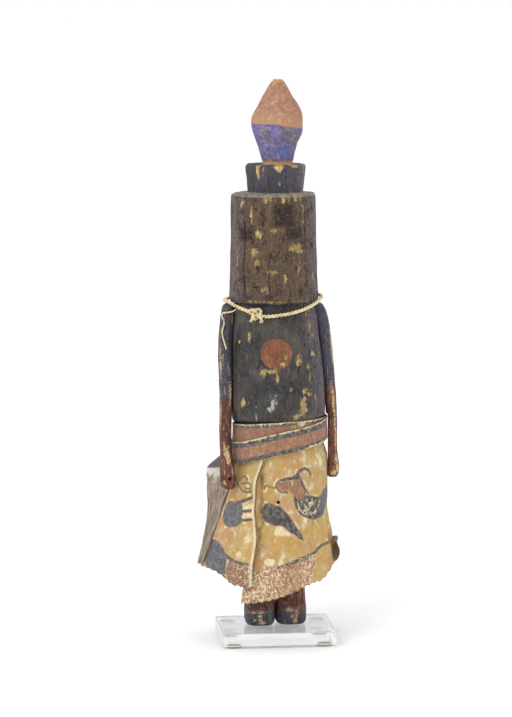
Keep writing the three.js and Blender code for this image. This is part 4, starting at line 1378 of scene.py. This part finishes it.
def kilt_surface():
    """Grid of the kilt's outer face, columns by angle and rows from its hem up to its top. At the
    right its hem corner bends out along an arc, and its outer end turns out in a narrow lip. Gives
    the points, and the angle and the height that each has on the flat hide."""
    down = np.linspace(1, 0, KILT_FINE["rows"])[:, None]
    angle = kilt_angles()[None, :] + 0 * down
    corner = bump(angle - KILT_CORNER["angle"], KILT_CORNER["spread"])
    nicks = sum(high * np.sin(angle * often + phase) for high, often, phase in HEM_NICKS)
    nicks = nicks * (1 - ease(corner, 0.05, 0.4))
    hem = through(KILT_HEM_HEIGHT, angle) - KILT_CORNER["drop"] * corner + nicks
    height = mix(KILT["top"], hem, down)
    angle_there = angle + through(KILT_END_EDGE, height) * ease(angle, KILT_END_FROM, KILT["end"])
    reach = kilt_reach(angle, down) - KILT_CORNER["inset"] * corner * ease(down, 0.5, 1)
    radius = KILT_CORNER["radius"]
    rolled = np.maximum(0, radius * np.radians(KILT_CORNER["turn"]) * corner - (height - hem))
    reach = reach + radius * (1 - np.cos(rolled / radius))
    lip = ease(angle, KILT["end"] - KILT_LIP["width"], KILT["end"]) ** 1.5 * ease(down, 0.16, 0.3)
    reach = reach + KILT_LIP["height"] * lip
    points = about_waist(angle_there, reach, height + rolled - radius * np.sin(rolled / radius))
    creases = 0.4 * ripple(points, 15, 31) + 0.16 * ripple(points, 5.5, 32, stretch=(1, 1, 1.6))
    points = points + grid_normals(points) * (ease(down, 0.15, 0.4) * creases)[..., None]
    return round_hole(points, angle_there, height), angle_there, height


def from_hole(angle, height):
    """How far across and up from the middle of the kilt's round hole."""
    return KILT_RADIUS * np.radians(angle) - KILT_HOLE["across"], height - KILT_HOLE["height"]


def round_hole(points, angle, height):
    """Moves the points nearest the round hole's rim onto it, along the face."""
    x, y = from_hole(angle, height)
    gap = np.maximum(np.hypot(x, y), 1e-6)
    near = (gap < KILT_HOLE["radius"] * 1.45) & (gap > KILT_HOLE["radius"] * 0.55)
    push = np.where(near, KILT_HOLE["radius"] / gap - 1, 0)
    turn = np.radians(angle)
    side = np.stack([np.cos(turn), np.sin(turn), 0 * turn], axis=-1)
    moved = points + side * (x * push)[..., None]
    moved[..., 2] += y * push
    return moved


def kilt_border(across, height):
    """How far inside the red border: on the right panel up to the flap, where it ends on a slant,
    on the left one, and level round the hidden stretch between them."""
    right = through(KILT_BORDER, across) - height
    right = np.minimum(right, KILT_FLAP - across + 0.4 * (height - 45))
    left = through(KILT_BORDER_LEFT, across) - height
    hidden = KILT_HIDDEN["border"] - height
    border = np.where(across > KILT_HIDDEN["to"], left, right)
    return np.where((across > KILT_HIDDEN["from"]) & (across < KILT_HIDDEN["to"]), hidden, border)


def kilt_paint(angle, height):
    """Painted areas of the kilt, by mm round it and height: a horned serpent and a feather wedge
    on the right panel, cloud bars on the left one, and a speckled red border. A thin pale halo,
    broken by a sine, runs round the figures, and the ochre is worn near the hem. Painted shadow
    darkens the gutter beside the outer end and the rolled corner."""
    across = KILT_RADIUS * np.radians(angle)
    on_left = across > KILT_HIDDEN["to"]
    gutter = across - KILT_RADIUS * np.radians(KILT_GUTTER)
    shape = {name: inside_shape(across, height, outline) for name, outline in KILT_SHAPES.items()}
    strokes = [inside_line(across, height, line, width) for line, width in KILT_STROKES]
    pale = [inside_line(across, height, line, width) for line, width in KILT_PALE_STROKES]
    border = kilt_border(across, height)
    free_end = across - KILT_RADIUS * np.radians(KILT["end"] + through(KILT_END_EDGE, height)) + 2.4
    free_end = np.minimum(free_end, 122 - height)
    dark = np.max([shape[name] for name in KILT_DARK] + strokes, axis=0)
    red = np.max([shape["neck"], shape["snout"], border], axis=0)
    halo = np.minimum(1.1 - np.abs(np.maximum(dark, red) + 1.1), 0.9 * np.sin(across * 0.7) + 0.3)
    halo = np.where(height > 60, halo, -2)
    bare = [shape["window_high"], shape["window_low"], shape["flake"], free_end - 0.5, *pale]
    ochre = np.minimum(8 - np.maximum(inside_spots(across, height, KILT_WORN), -8) * 3, 8)
    ochre = np.minimum(ochre, 1.2 - halo * 1.6)
    ochre = np.where(on_left, np.minimum(ochre, 0.2 + (height - 42) * 0.05), ochre)
    near_end = np.abs(gutter - 5) / 7 + 0.25 * np.sin(height / 9)
    ochre = np.minimum(ochre, 0.6 + 4 * near_end + 0.05 * np.maximum(height - 66, 0))
    bluish = np.where(shape["serpent"] > -1, mix(-4, 1.5, ease(across, 28, 37)), FAR)
    speck = np.where(border > -1, mix(-1.5, 0.9, through(KILT_SPECKLE, across)), -5)
    # Painted shadow down the gutter beside the outer end, fading out below, and painted shade on the
    # rolled corner
    shadow = np.minimum(1.7 - np.abs(gutter - 0.6), 118 - height) * 0.5 - 0.6
    shadow -= 1.2 * ease(height, 66, 44)
    shadow = np.maximum(shadow, inside_spots(across, height, KILT_ROLLED))
    return {
        "ochre": ochre,
        "red": red,
        "dark": dark,
        "blue": np.max([shape["cloud"], shape["corner"], bluish], axis=0),
        "cream": np.max(bare, axis=0),
        "speck": np.minimum(speck, border + 0.8),
        "speck_dark": np.minimum(-0.6, border),
        "tan": np.where(border > -1, np.where(on_left, -0.7, 0.3), FAR),
        "grime": np.maximum(shadow, -4),
    }


def belt_surface():
    """Grid of the belt's outer face: its route round the waist by rows across its width."""
    share = np.linspace(1, 0, BELT_FINE["rows"])[:, None]
    angle = np.linspace(BELT_PATH[0][0], BELT_PATH[-1][0], BELT_FINE["columns"])[None, :] + 0 * share
    lift = BELT["turn_lift"] * ease(angle, *SECOND_TURN)
    wave = sum(high * np.sin(np.radians(angle) * often) for high, often in BELT_WAVES)
    reach = belt_reach(angle, lift) + BELT["lean"] * share + HIDE["belt"]
    height = through(BELT_PATH, angle) - (BELT["width"] + 0.5 * wave) * share + 0.3 * wave
    points = about_waist(angle, reach, height)
    across = BELT["width"] * share + 0 * angle
    bumps = 0.1 * ripple(points, 7, 41) + BELT_ROLL["height"] * bump(across, BELT_ROLL["width"])
    return points + grid_normals(points) * bumps[..., None], angle, across


def belt_paint(angle, across):
    """Bands of the belt by mm from its top edge: a bare white edge, black, speckled red and
    black, the first turn's upper black narrower, with a bare patch where the turns cross."""
    second = ease(angle, *SECOND_PAINT)
    upper = mix(BELT_BANDS["first_upper"], BELT_BANDS["upper"], second)
    patch = inside_spots(angle * 0.6, across, BELT_PATCH)
    foot = across - mix(16, 14.0, ease(angle, 375, 400))
    bare = np.maximum(np.maximum(BELT_BANDS["edge"] - across, patch), foot)
    return {
        "ochre": FAR,
        "red": -FAR,
        "dark": np.maximum(upper - across, across - BELT_BANDS["lower"]),
        "blue": -3,
        "cream": bare,
        "speck": -1.9,
        "speck_dark": -1.4,
        "tan": FAR,
        # Darker over the belt's first turn than over its second
        "grime": mix(-0.7, -2.0, second),
    }


def pelt_surface():
    """Grid of the pelt's outer face: rows from its lower end up over its fold to its tuck. place
    counts down the rows of its table."""
    inner = PELT["start"] + PELT_TURN["closed"]
    angle = np.linspace(PELT["end"], inner, PELT_FINE["columns"])[None, :]
    place = np.linspace(len(PELT_ROWS) - 1, 0, PELT_FINE["rows"])[:, None]
    table = np.column_stack([np.arange(len(PELT_ROWS)), PELT_ROWS])
    height, widest = np.moveaxis(through(table, place), -1, 0)
    share = mix(1, PELT["back_share"], ease(-angle, -PELT["widest"], -PELT["end"]))
    share = share * (1 - 0.92 * ease(angle, PELT["start"] - PELT_TURN["from"], inner))
    turn = angle + 360 + 0 * place
    down = (KILT["top"] - height) / (KILT["top"] - through(KILT_HEM_HEIGHT, turn))
    down = np.clip(down, 0, 1)
    hip = kilt_reach(turn, down)
    hip_widest = kilt_reach(np.full_like(turn, PELT["widest"] + 360.0), down)
    belted = belt_reach(turn, BELT["turn_lift"]) + BELT["lean"] + HIDE["belt"]
    under = np.where(height > BELT["low"], np.maximum(hip, belted), hip)
    reach = np.maximum(hip + (widest - hip_widest) * share, under + HIDE["pelt"] + CLEARANCE)
    flutes = np.sin(np.radians(angle * 14 + 30 * np.sin(height / 18)))
    reach = reach + 0.8 * ease(place, 3.5, 6) * flutes
    ragged = ease(place, 7.5, 9) * (1.2 * np.sin(np.radians(angle * 23)) + 0.8 * np.sin(angle * 1.7))
    points = about_waist(turn, reach, height + ragged)
    locks = 0.3 * ripple(points, 2.6, 51, stretch=(1, 1, 7)) * ease(place, 3, 4.5)
    points = points + grid_normals(points) * locks[..., None]
    values = {
        "wound": NOMINAL_RADIUS * 1.5 * np.radians(turn),
        "along": height,
        "skin": (PELT["fold_row"] - 0.5 - place) * 2.4,
        "fold": 0.9 - np.abs(place - PELT["fold_row"]) * 2.4,
        "low": PELT_SHADED_BELOW - height,
    }
    return points, values


def hairs_on(points, out, count, length, seed):
    """Tapering three-sided hairs over a grid whose rows go up: each starts at a random place in
    the hairy rows, follows the rows down with a small drift, and lifts at its tip, hanging past
    the lower edge where it is near. Gives points by hair, ring and side."""
    draw = np.random.default_rng(seed)
    rows, columns = points.shape[:2]
    spacing = np.linalg.norm(np.diff(points, axis=0), axis=2).mean()
    t = np.linspace(0, 1, 5)[None, :]
    reach = length * draw.uniform(0.6, 1.3, (count, 1)) / spacing
    start = draw.uniform(*HAIRY_ROWS, (count, 1))
    row = start - np.minimum(reach, start + HAIR_PAST / spacing) * t
    drift = draw.normal(0, 1.6, (count, 1)) * t + 1.2 * np.sin(row / 17 + 2)
    column = np.clip(draw.uniform(0, columns - 1, (count, 1)) + drift, 0, columns - 1.001)
    held = np.clip(row, 0, rows - 1.001)
    i, j = held.astype(int), column.astype(int)
    u, v = (held - i)[..., None], (column - j)[..., None]
    left, right = (mix(points[i, k], points[i + 1, k], u) for k in (j, j + 1))
    normal = out[i, j]
    past = (row - held)[..., None] * spacing
    lift = 0.12 + draw.uniform(0.2, 0.9, (count, 1)) * t**2
    middle = mix(left, right, v) + past * np.array([0, 0, 1]) + normal * lift[..., None]
    side = unit(np.cross(normal, [0, 0, 1]))
    thick = (HAIR_RADIUS * (1 - t) ** 0.7 + 0.02)[..., None]
    corners = [side * thick, -side * thick, normal * thick * 0.8]
    return np.stack([middle + corner for corner in corners], axis=2)


def strands_patch(strands, **values):
    """One patch from many like three-sided strands, closed at both ends. Each value is one number
    for each strand."""
    count, rings, sides = strands.shape[:3]
    start = (np.arange(count) * rings * sides)[:, None, None]
    ends = np.array([[1, 0, 2], [(rings - 1) * sides + k for k in (0, 1, 2)]])
    return {
        "points": strands.reshape(-1, 3),
        "quads": (grid_faces(rings, sides, True)[None] + start).reshape(-1, 4),
        "triangles": (ends[None] + start).reshape(-1, 3),
        "values": {name: np.repeat(v, rings * sides) for name, v in values.items()},
    }


def fibre_tube(path, radius, sides, up):
    """A closed tube with mm round it and mm along it as its values."""
    round_mm = np.linspace(0, CORD_DIAMETER * 1.6, sides)
    along = along_path(path)[:, None]
    return grid_surface(tube(path, radius, sides, up), True, True, wound=round_mm, along=along)


def string_patches(pitch):
    """The neck string: two strands twisted round its route, its stubs, and an overhand knot, a
    trefoil of two sines and two cosines, pulled tight. Each strand has fibre along it, and the
    stubs thin out to their ends."""
    patches = []
    quarter = CORD_DIAMETER / 4
    parts = (STRING, (0, 0, 1), 0), (STUB, STUB_UP, 0.35), (CURL, STUB_UP, 0.35)
    for points, up, thinning in parts:
        path = route(points, STRING_STEP)
        thin = quarter * 1.12 * (1 - thinning * np.linspace(0, 1, len(path)) ** 2)
        thin = thin * (1 + 0.07 * np.sin(along_path(path) * 1.3))
        for phase in (0, math.pi):
            lay = strand(path, quarter, pitch, phase, up)
            patches.append(fibre_tube(lay, thin, 10, up))
    t = np.linspace(0, 2 * np.pi, 170)
    loops = [np.sin(t) + 2 * np.sin(2 * t), -np.sin(3 * t), np.cos(t) - 2 * np.cos(2 * t)]
    size = np.array([KNOT["width"] / 3.2, KNOT["depth"] / 1.6, KNOT["height"] / 3.0])
    knot = np.array([KNOT["x"], KNOT["y"], KNOT["z"]]) + np.column_stack(loops) * size
    for phase in (0, math.pi):
        lay = strand(knot, quarter * 0.8, pitch, phase, KNOT_UP)
        patches.append(fibre_tube(lay, quarter, 9, KNOT_UP))
    return patches


def fuzz_patch(path, count, seed):
    """Loose fibres standing off the string: short, thin, three-sided and bent by a parabola."""
    draw = np.random.default_rng(seed)
    spot = path[draw.integers(2, len(path) - 2, count)][:, None, :]
    away = unit(draw.normal(size=(count, 1, 3)))
    bend = draw.normal(size=(count, 1, 3)) * 0.5
    t = np.linspace(0, 1, 4)[None, :, None]
    long = draw.uniform(1.4, 3.0, (count, 1, 1))
    middle = spot + away * (0.7 + long * t * 0.6) + bend * long * t**2
    side = unit(np.cross(away, bend))
    rise = np.cross(side, away)
    thick = 0.09 * (1 - 0.7 * t)
    corners = [side * thick, rise * thick, -(side + rise) * thick * 0.7]
    rings = np.stack([middle + corner for corner in corners], axis=2)
    return strands_patch(rings, wound=np.zeros(count), along=np.zeros(count))


def pad_surface():
    """Grid of one bumper pad: a disc with rounded edges, rings of an outline carried round."""
    radius, height, edge = PAD["diameter"] / 2, PAD["height"], PAD["edge"]
    turn = np.linspace(-np.pi / 2, np.pi / 2, 13)
    reach = radius - edge + edge * np.cos(turn)
    level = height / 2 + (height / 2 - edge) * np.sign(turn) + edge * np.sin(turn)
    reach = np.concatenate([[radius * 0.45], reach, [radius * 0.45]])[:, None]
    level = np.concatenate([[0], level, [height]])[:, None]
    angle = np.linspace(0, 2 * np.pi, 48, endpoint=False)[None, :]
    return np.stack([reach * np.sin(angle), -reach * np.cos(angle), level + 0 * angle], axis=-1)


# Settings a user would change


def colour_setting(name, description, code):
    return bpy.props.FloatVectorProperty(
        name=name, description=description, default=linear(code), subtype="COLOR", min=0, max=1
    )


def length_setting(name, description, mm):
    return bpy.props.FloatProperty(
        name=name, description=description, default=mm * MM, unit="LENGTH", min=0, precision=5
    )


class DollFigureSettings(bpy.types.PropertyGroup):
    """Paints and cuts of the carved figure"""

    trunk_black: colour_setting("Trunk black", "Soot paint of the trunk", "#2b2b31")
    trunk_cool: colour_setting("Trunk blue black", "Cooler washes in the trunk's paint", "#363c42")
    trunk_dust: colour_setting("Trunk dust", "Rubbed places of the trunk", "#59564f")
    mask_black: colour_setting("Mask brown black", "Worn paint of the case mask", "#3a2f2f")
    mask_cool: colour_setting("Mask grey", "Cooler washes on the case mask", "#453e4b")
    mask_dust: colour_setting("Mask dust", "Rubbed places of the case mask", "#5d4c3f")
    knob_black: colour_setting("Knob black", "Thinner soot of the knob", "#423e45")
    knob_cool: colour_setting("Knob blue black", "Cooler washes on the knob", "#4b4c59")
    disc: colour_setting("Chest disc", "Red clay of the disc on the chest", "#85523d")
    wood: colour_setting("Bare wood", "Root wood and yellow ground in the chips", "#b0955f")
    mask_wood: colour_setting("Mask wood", "Dirty wood in the mask's chips", "#9a8350")
    pale_wood: colour_setting("Pale wood", "Split wood on the knob and finial", "#c39a66")
    orange: colour_setting("Finial orange", "Upper paint of the finial", "#a87d66")
    blue: colour_setting("Finial blue", "Lower paint of the finial", "#8076a4")
    arm_red: colour_setting("Arm red", "Earth red of the forearms", "#6a3c34")
    foot_red: colour_setting("Foot red", "Earth red above the shoes", "#7a4a45")
    limb_black: colour_setting("Limb black", "Soot of the upper arms and shoes", "#34303d")
    blade: length_setting("Blade marks", "Height of the ridges between cuts", 0.45)


class DollDressSettings(bpy.types.PropertyGroup):
    """Paints, hair and string of the dress"""

    ochre: colour_setting("Kilt ochre", "Yellow earth of the kilt's field", "#bf9a55")
    cream: colour_setting("Bare hide", "Hide where it has no paint", "#e0d0ac")
    red: colour_setting("Red earth", "Red of the belt, border and serpent", "#91654f")
    black: colour_setting("Soot", "Black of the bands and figures", "#4c4a4b")
    blue: colour_setting("Blue grey", "Mineral blue grey of the clouds", "#585b66")
    hair_pale: colour_setting("Pale hair", "Tips of the pelt's hair", "#c4b49e")
    hair_dark: colour_setting("Dark hair", "Under hair of the pelt", "#7d6f64")
    string: colour_setting("String", "Plant fibre of the neck string", "#e8d8aa")
    string_pitch: length_setting("String lay", "Length of one turn of the strands", 5.5)
    hair_length: length_setting("Hair length", "Mean length of the pelt's hair", 11)
    hairs: bpy.props.IntProperty(
        name="Hairs", description="Number of modelled hairs on each side", default=2400, min=0, max=6000
    )


class DollStageSettings(bpy.types.PropertyGroup):
    """Stand and studio"""

    pad: colour_setting("Bumper pads", "Clouded plastic of the pads", "#a9a492")
    floor: colour_setting("Floor", "Pale studio floor", "#fdfdfd")
    surround: bpy.props.FloatProperty(
        name="Surround", description="Strength of the white studio", default=1.02, min=0
    )
    key: bpy.props.FloatProperty(
        name="Key light", description="Soft light from the upper left", default=20, unit="POWER", min=0
    )
    fill: bpy.props.FloatProperty(
        name="Fill light", description="Soft light from the right", default=3, unit="POWER", min=0
    )


# Operators


def soft_light(name, place, size, power):
    """A square area light, aimed at the doll's waist by two turns from straight down."""
    data = bpy.data.lights.new(name, "AREA")
    data.size = size
    data.energy = power
    light = bpy.data.objects.new(name, data)
    light.location = place
    across, away, drop = np.array(place) - LIGHTS_AIM
    tilt = math.atan2(math.hypot(across, away), drop)
    light.rotation_euler = [tilt, 0, math.atan2(away, across) + math.pi / 2]
    bpy.context.scene.collection.objects.link(light)


class DOLL_OT_stage(bpy.types.Operator):
    """Place the camera, the pale floor and the soft studio lights"""

    bl_idname = "doll.stage"
    bl_label = "Camera, Floor and Lights"

    def execute(self, context):
        scene, settings = context.scene, context.scene.doll_stage
        turn = math.radians(CAMERA["azimuth"])
        away = CAMERA["away"]
        data = bpy.data.cameras.new("camera")
        data.lens = LENS["focal"]
        data.sensor_width = LENS["sensor"]
        data.clip_end = 2 * FLOOR_SIDE
        camera = bpy.data.objects.new("camera", data)
        camera.location = placed([away * math.sin(turn), -away * math.cos(turn), CAMERA["height"]])
        yaw = math.radians(CAMERA["azimuth"] + CAMERA["yaw"])
        camera.rotation_euler = [math.radians(90 - CAMERA["pitch"]), 0, yaw]
        scene.collection.objects.link(camera)
        scene.camera = camera
        world = bpy.data.worlds.new("white studio")
        world.use_nodes = True
        world.node_tree.nodes["Background"].inputs[0].default_value = (1, 1, 1, 1)
        world.node_tree.nodes["Background"].inputs[1].default_value = settings.surround
        scene.world = world
        scene.view_settings.view_transform = "Standard"
        material, _, _ = start_material("matt floor", Base_Color=shade(settings.floor), Roughness=0.9)
        mesh = bpy.data.meshes.new("floor")
        corners = [(-1, -1, 0), (1, -1, 0), (1, 1, 0), (-1, 1, 0)]
        mesh.from_pydata([np.array(corner) * FLOOR_SIDE for corner in corners], [], [(0, 1, 2, 3)])
        mesh.materials.append(material)
        floor = bpy.data.objects.new("floor", mesh)
        scene.collection.objects.link(floor)
        soft_light("key", *KEY_LIGHT, settings.key)
        soft_light("fill", *FILL_LIGHT, settings.fill)
        return {"FINISHED"}


class DOLL_OT_string(bpy.types.Operator):
    """Tie the twisted string round the neck, with its knot, its stubs and one loose fibre"""

    bl_idname = "doll.string"
    bl_label = "Neck String"

    def execute(self, context):
        settings = context.scene.doll_dress
        material = plant_fibre("twisted plant fibre", settings.string)
        patches = string_patches(settings.string_pitch / MM)
        patches.append(fuzz_patch(route(STRING, 0.5), 130, 61))
        string = build_mesh("neck_string", patches, [material], uv=("wound", "along"))
        finish_piece(string, "string", "neck_cord")
        path = route(LOOSE, 0.8)
        patch = fibre_tube(path, THREAD_DIAMETER / 2, 10, THREAD_UP)
        thread = build_mesh("loose_fibre", [patch], [material], uv=("wound", "along"))
        finish_piece(thread, "string", "loose_thread")
        return {"FINISHED"}


class DOLL_OT_figure(bpy.types.Operator):
    """Carve the body, mask, knob, finial and legs, and paint them"""

    bl_idname = "doll.figure"
    bl_label = "Carved Figure"

    def execute(self, context):
        s = context.scene.doll_figure
        points, zone, values = body_surface(s.blade / MM)
        body = grid_surface(points, True, True, **values)
        body["material"] = np.concatenate([zone[:-1].ravel(), zone[0], zone[-1]])
        patches = [body]
        for side in LEGS:
            points, values = leg_surface(side)
            patch = grid_surface(points, True, True, **values)
            patch["material"] = ZONES["leg"]
            patches.append(patch)
        soots = [
            ("soot on the trunk", s.trunk_black, s.trunk_cool, s.trunk_dust, s.wood, 0.12),
            ("worn soot on the mask", s.mask_black, s.mask_cool, s.mask_dust, s.mask_wood, 0.5),
            ("soot on the knob", s.knob_black, s.knob_cool, s.trunk_dust, s.pale_wood, -0.2),
        ]
        materials = [soot_paint(*soot, s.disc) for soot in soots]
        materials.append(earth_paint("earth paints on the finial", s.orange, s.blue, s.pale_wood))
        materials.append(limb_paint("painted shoes", s.limb_black, s.foot_red, s.wood, 0.1))
        finish_piece(build_mesh("figure", patches, materials), "figure_wood", "carved_figure")
        return {"FINISHED"}


class DOLL_OT_arms(bpy.types.Operator):
    """Carve both arms and their fists, and set them against the trunk"""

    bl_idname = "doll.arms"
    bl_label = "Arms"

    def execute(self, context):
        s = context.scene.doll_figure
        material = limb_paint("earth red and soot on the arms", s.limb_black, s.arm_red, s.wood, 0.2)
        for name, arm in ARMS.items():
            points, values = arm_surface(arm)
            made = build_mesh("carved_" + name, [grid_surface(points, True, True, **values)], [material])
            finish_piece(made, "arm_wood", name)
        return {"FINISHED"}


class DOLL_OT_kilt(bpy.types.Operator):
    """Wrap the painted hide kilt round the hips"""

    bl_idname = "doll.kilt"
    bl_label = "Kilt"

    def execute(self, context):
        s = context.scene.doll_dress
        points, angle, height = kilt_surface()
        gap = np.hypot(*from_hole(angle, height))
        middle = (gap[:-1, :-1] + gap[1:, :-1] + gap[1:, 1:] + gap[:-1, 1:]) / 4
        whole = middle > KILT_HOLE["radius"] * 0.85
        patch = grid_surface(points, keep=whole, **kilt_paint(angle, height))
        materials = [painted_hide("painted hide", s), shaded_hide_lining("bare hide", s.cream)]
        kilt = build_mesh("kilt_hide", [patch], materials)
        thicken(kilt, HIDE["kilt"], 1)
        finish_piece(kilt, "kilt_hide", "kilt")
        return {"FINISHED"}


class DOLL_OT_belt(bpy.types.Operator):
    """Wind the painted belt round the waist"""

    bl_idname = "doll.belt"
    bl_label = "Belt"

    def execute(self, context):
        s = context.scene.doll_dress
        points, angle, across = belt_surface()
        patch = grid_surface(points, **belt_paint(angle, across))
        materials = [painted_hide("painted belt hide", s), shaded_hide_lining("bare belt hide", s.cream)]
        belt = build_mesh("belt_strip", [patch], materials)
        thicken(belt, HIDE["belt"], 1)
        finish_piece(belt, "belt_hide", "belt")
        return {"FINISHED"}


class DOLL_OT_pelt(bpy.types.Operator):
    """Hang the pelt behind the left hip, folded over at the belt, with its hair"""

    bl_idname = "doll.pelt"
    bl_label = "Pelt"

    def execute(self, context):
        s = context.scene.doll_dress
        points, values = pelt_surface()
        materials = [pelt_fur("pelt fur", s.hair_pale, s.hair_dark)]
        patch = grid_surface(points, **values)
        pelt = build_mesh("pelt_flap", [patch], materials, uv=("wound", "along"))
        thicken(pelt, HIDE["pelt"])
        finish_piece(pelt, "pelt_hide", "back_pelt")
        length = s.hair_length / MM
        out = grid_normals(points)
        faces = (points, out, 71), (points - (HIDE["pelt"] + 0.1) * out, -out, 73)
        hairs = [hairs_on(face, away, s.hairs, length, seed) for face, away, seed in faces]
        hairs = np.concatenate(hairs)
        shades = np.random.default_rng(72).uniform(0, 1, len(hairs)) ** 0.8
        material = single_hair("single hairs", s.hair_pale, s.hair_dark)
        hair = build_mesh("pelt_hair", [strands_patch(hairs, shade=shades)], [material])
        finish_piece(hair, "pelt_hide")
        return {"FINISHED"}


class DOLL_OT_stand(bpy.types.Operator):
    """Finish the clear plate and its four bumper pads"""

    bl_idname = "doll.stand"
    bl_label = "Stand"

    def execute(self, context):
        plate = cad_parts["stand_plate"]
        plate.data.materials.clear()
        plate.data.materials.append(clear_acrylic("clear cast acrylic"))
        material = bumper_rubber("clouded bumper", context.scene.doll_stage.pad)
        for depth in ("front", "back"):
            for side in ("left", "right"):
                name = f"{depth}_{side}_pad"
                low, high = (np.array(corner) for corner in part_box(name))
                middle = ((low + high) / 2 - AXIS) / MM
                points = pad_surface() + [middle[0], middle[1], -AXIS[2] / MM]
                pad = build_mesh("bumper_" + name, [grid_surface(points, True, True)], [material])
                finish_piece(pad, "bumper", name)
        return {"FINISHED"}


class VIEW3D_PT_doll(bpy.types.Panel):
    """Lists the pieces of the doll and their settings"""

    bl_label = "Carved Doll"
    bl_space_type = "VIEW_3D"
    bl_region_type = "UI"
    bl_category = "Doll"

    def draw(self, context):
        for operator in OPERATORS:
            self.layout.operator(operator.bl_idname)
        for group in (context.scene.doll_figure, context.scene.doll_dress, context.scene.doll_stage):
            box = self.layout.box()
            for name in type(group).__annotations__:
                box.prop(group, name)


SETTINGS = {
    "doll_figure": DollFigureSettings,
    "doll_dress": DollDressSettings,
    "doll_stage": DollStageSettings,
}
OPERATORS = (
    DOLL_OT_stage,
    DOLL_OT_string,
    DOLL_OT_figure,
    DOLL_OT_arms,
    DOLL_OT_kilt,
    DOLL_OT_belt,
    DOLL_OT_pelt,
    DOLL_OT_stand,
)
CLASSES = (*SETTINGS.values(), *OPERATORS, VIEW3D_PT_doll)


def register():
    for cls in CLASSES:
        bpy.utils.register_class(cls)
    for name, group in SETTINGS.items():
        setattr(bpy.types.Scene, name, bpy.props.PointerProperty(type=group))


def unregister():
    for name in SETTINGS:
        delattr(bpy.types.Scene, name)
    for cls in reversed(CLASSES):
        bpy.utils.unregister_class(cls)


def main():
    register()
    bpy.ops.doll.stage()
    bpy.ops.doll.string()
    bpy.ops.doll.figure()
    bpy.ops.doll.arms()
    bpy.ops.doll.kilt()
    bpy.ops.doll.belt()
    bpy.ops.doll.pelt()
    bpy.ops.doll.stand()


if __name__ == "__main__":
    main()
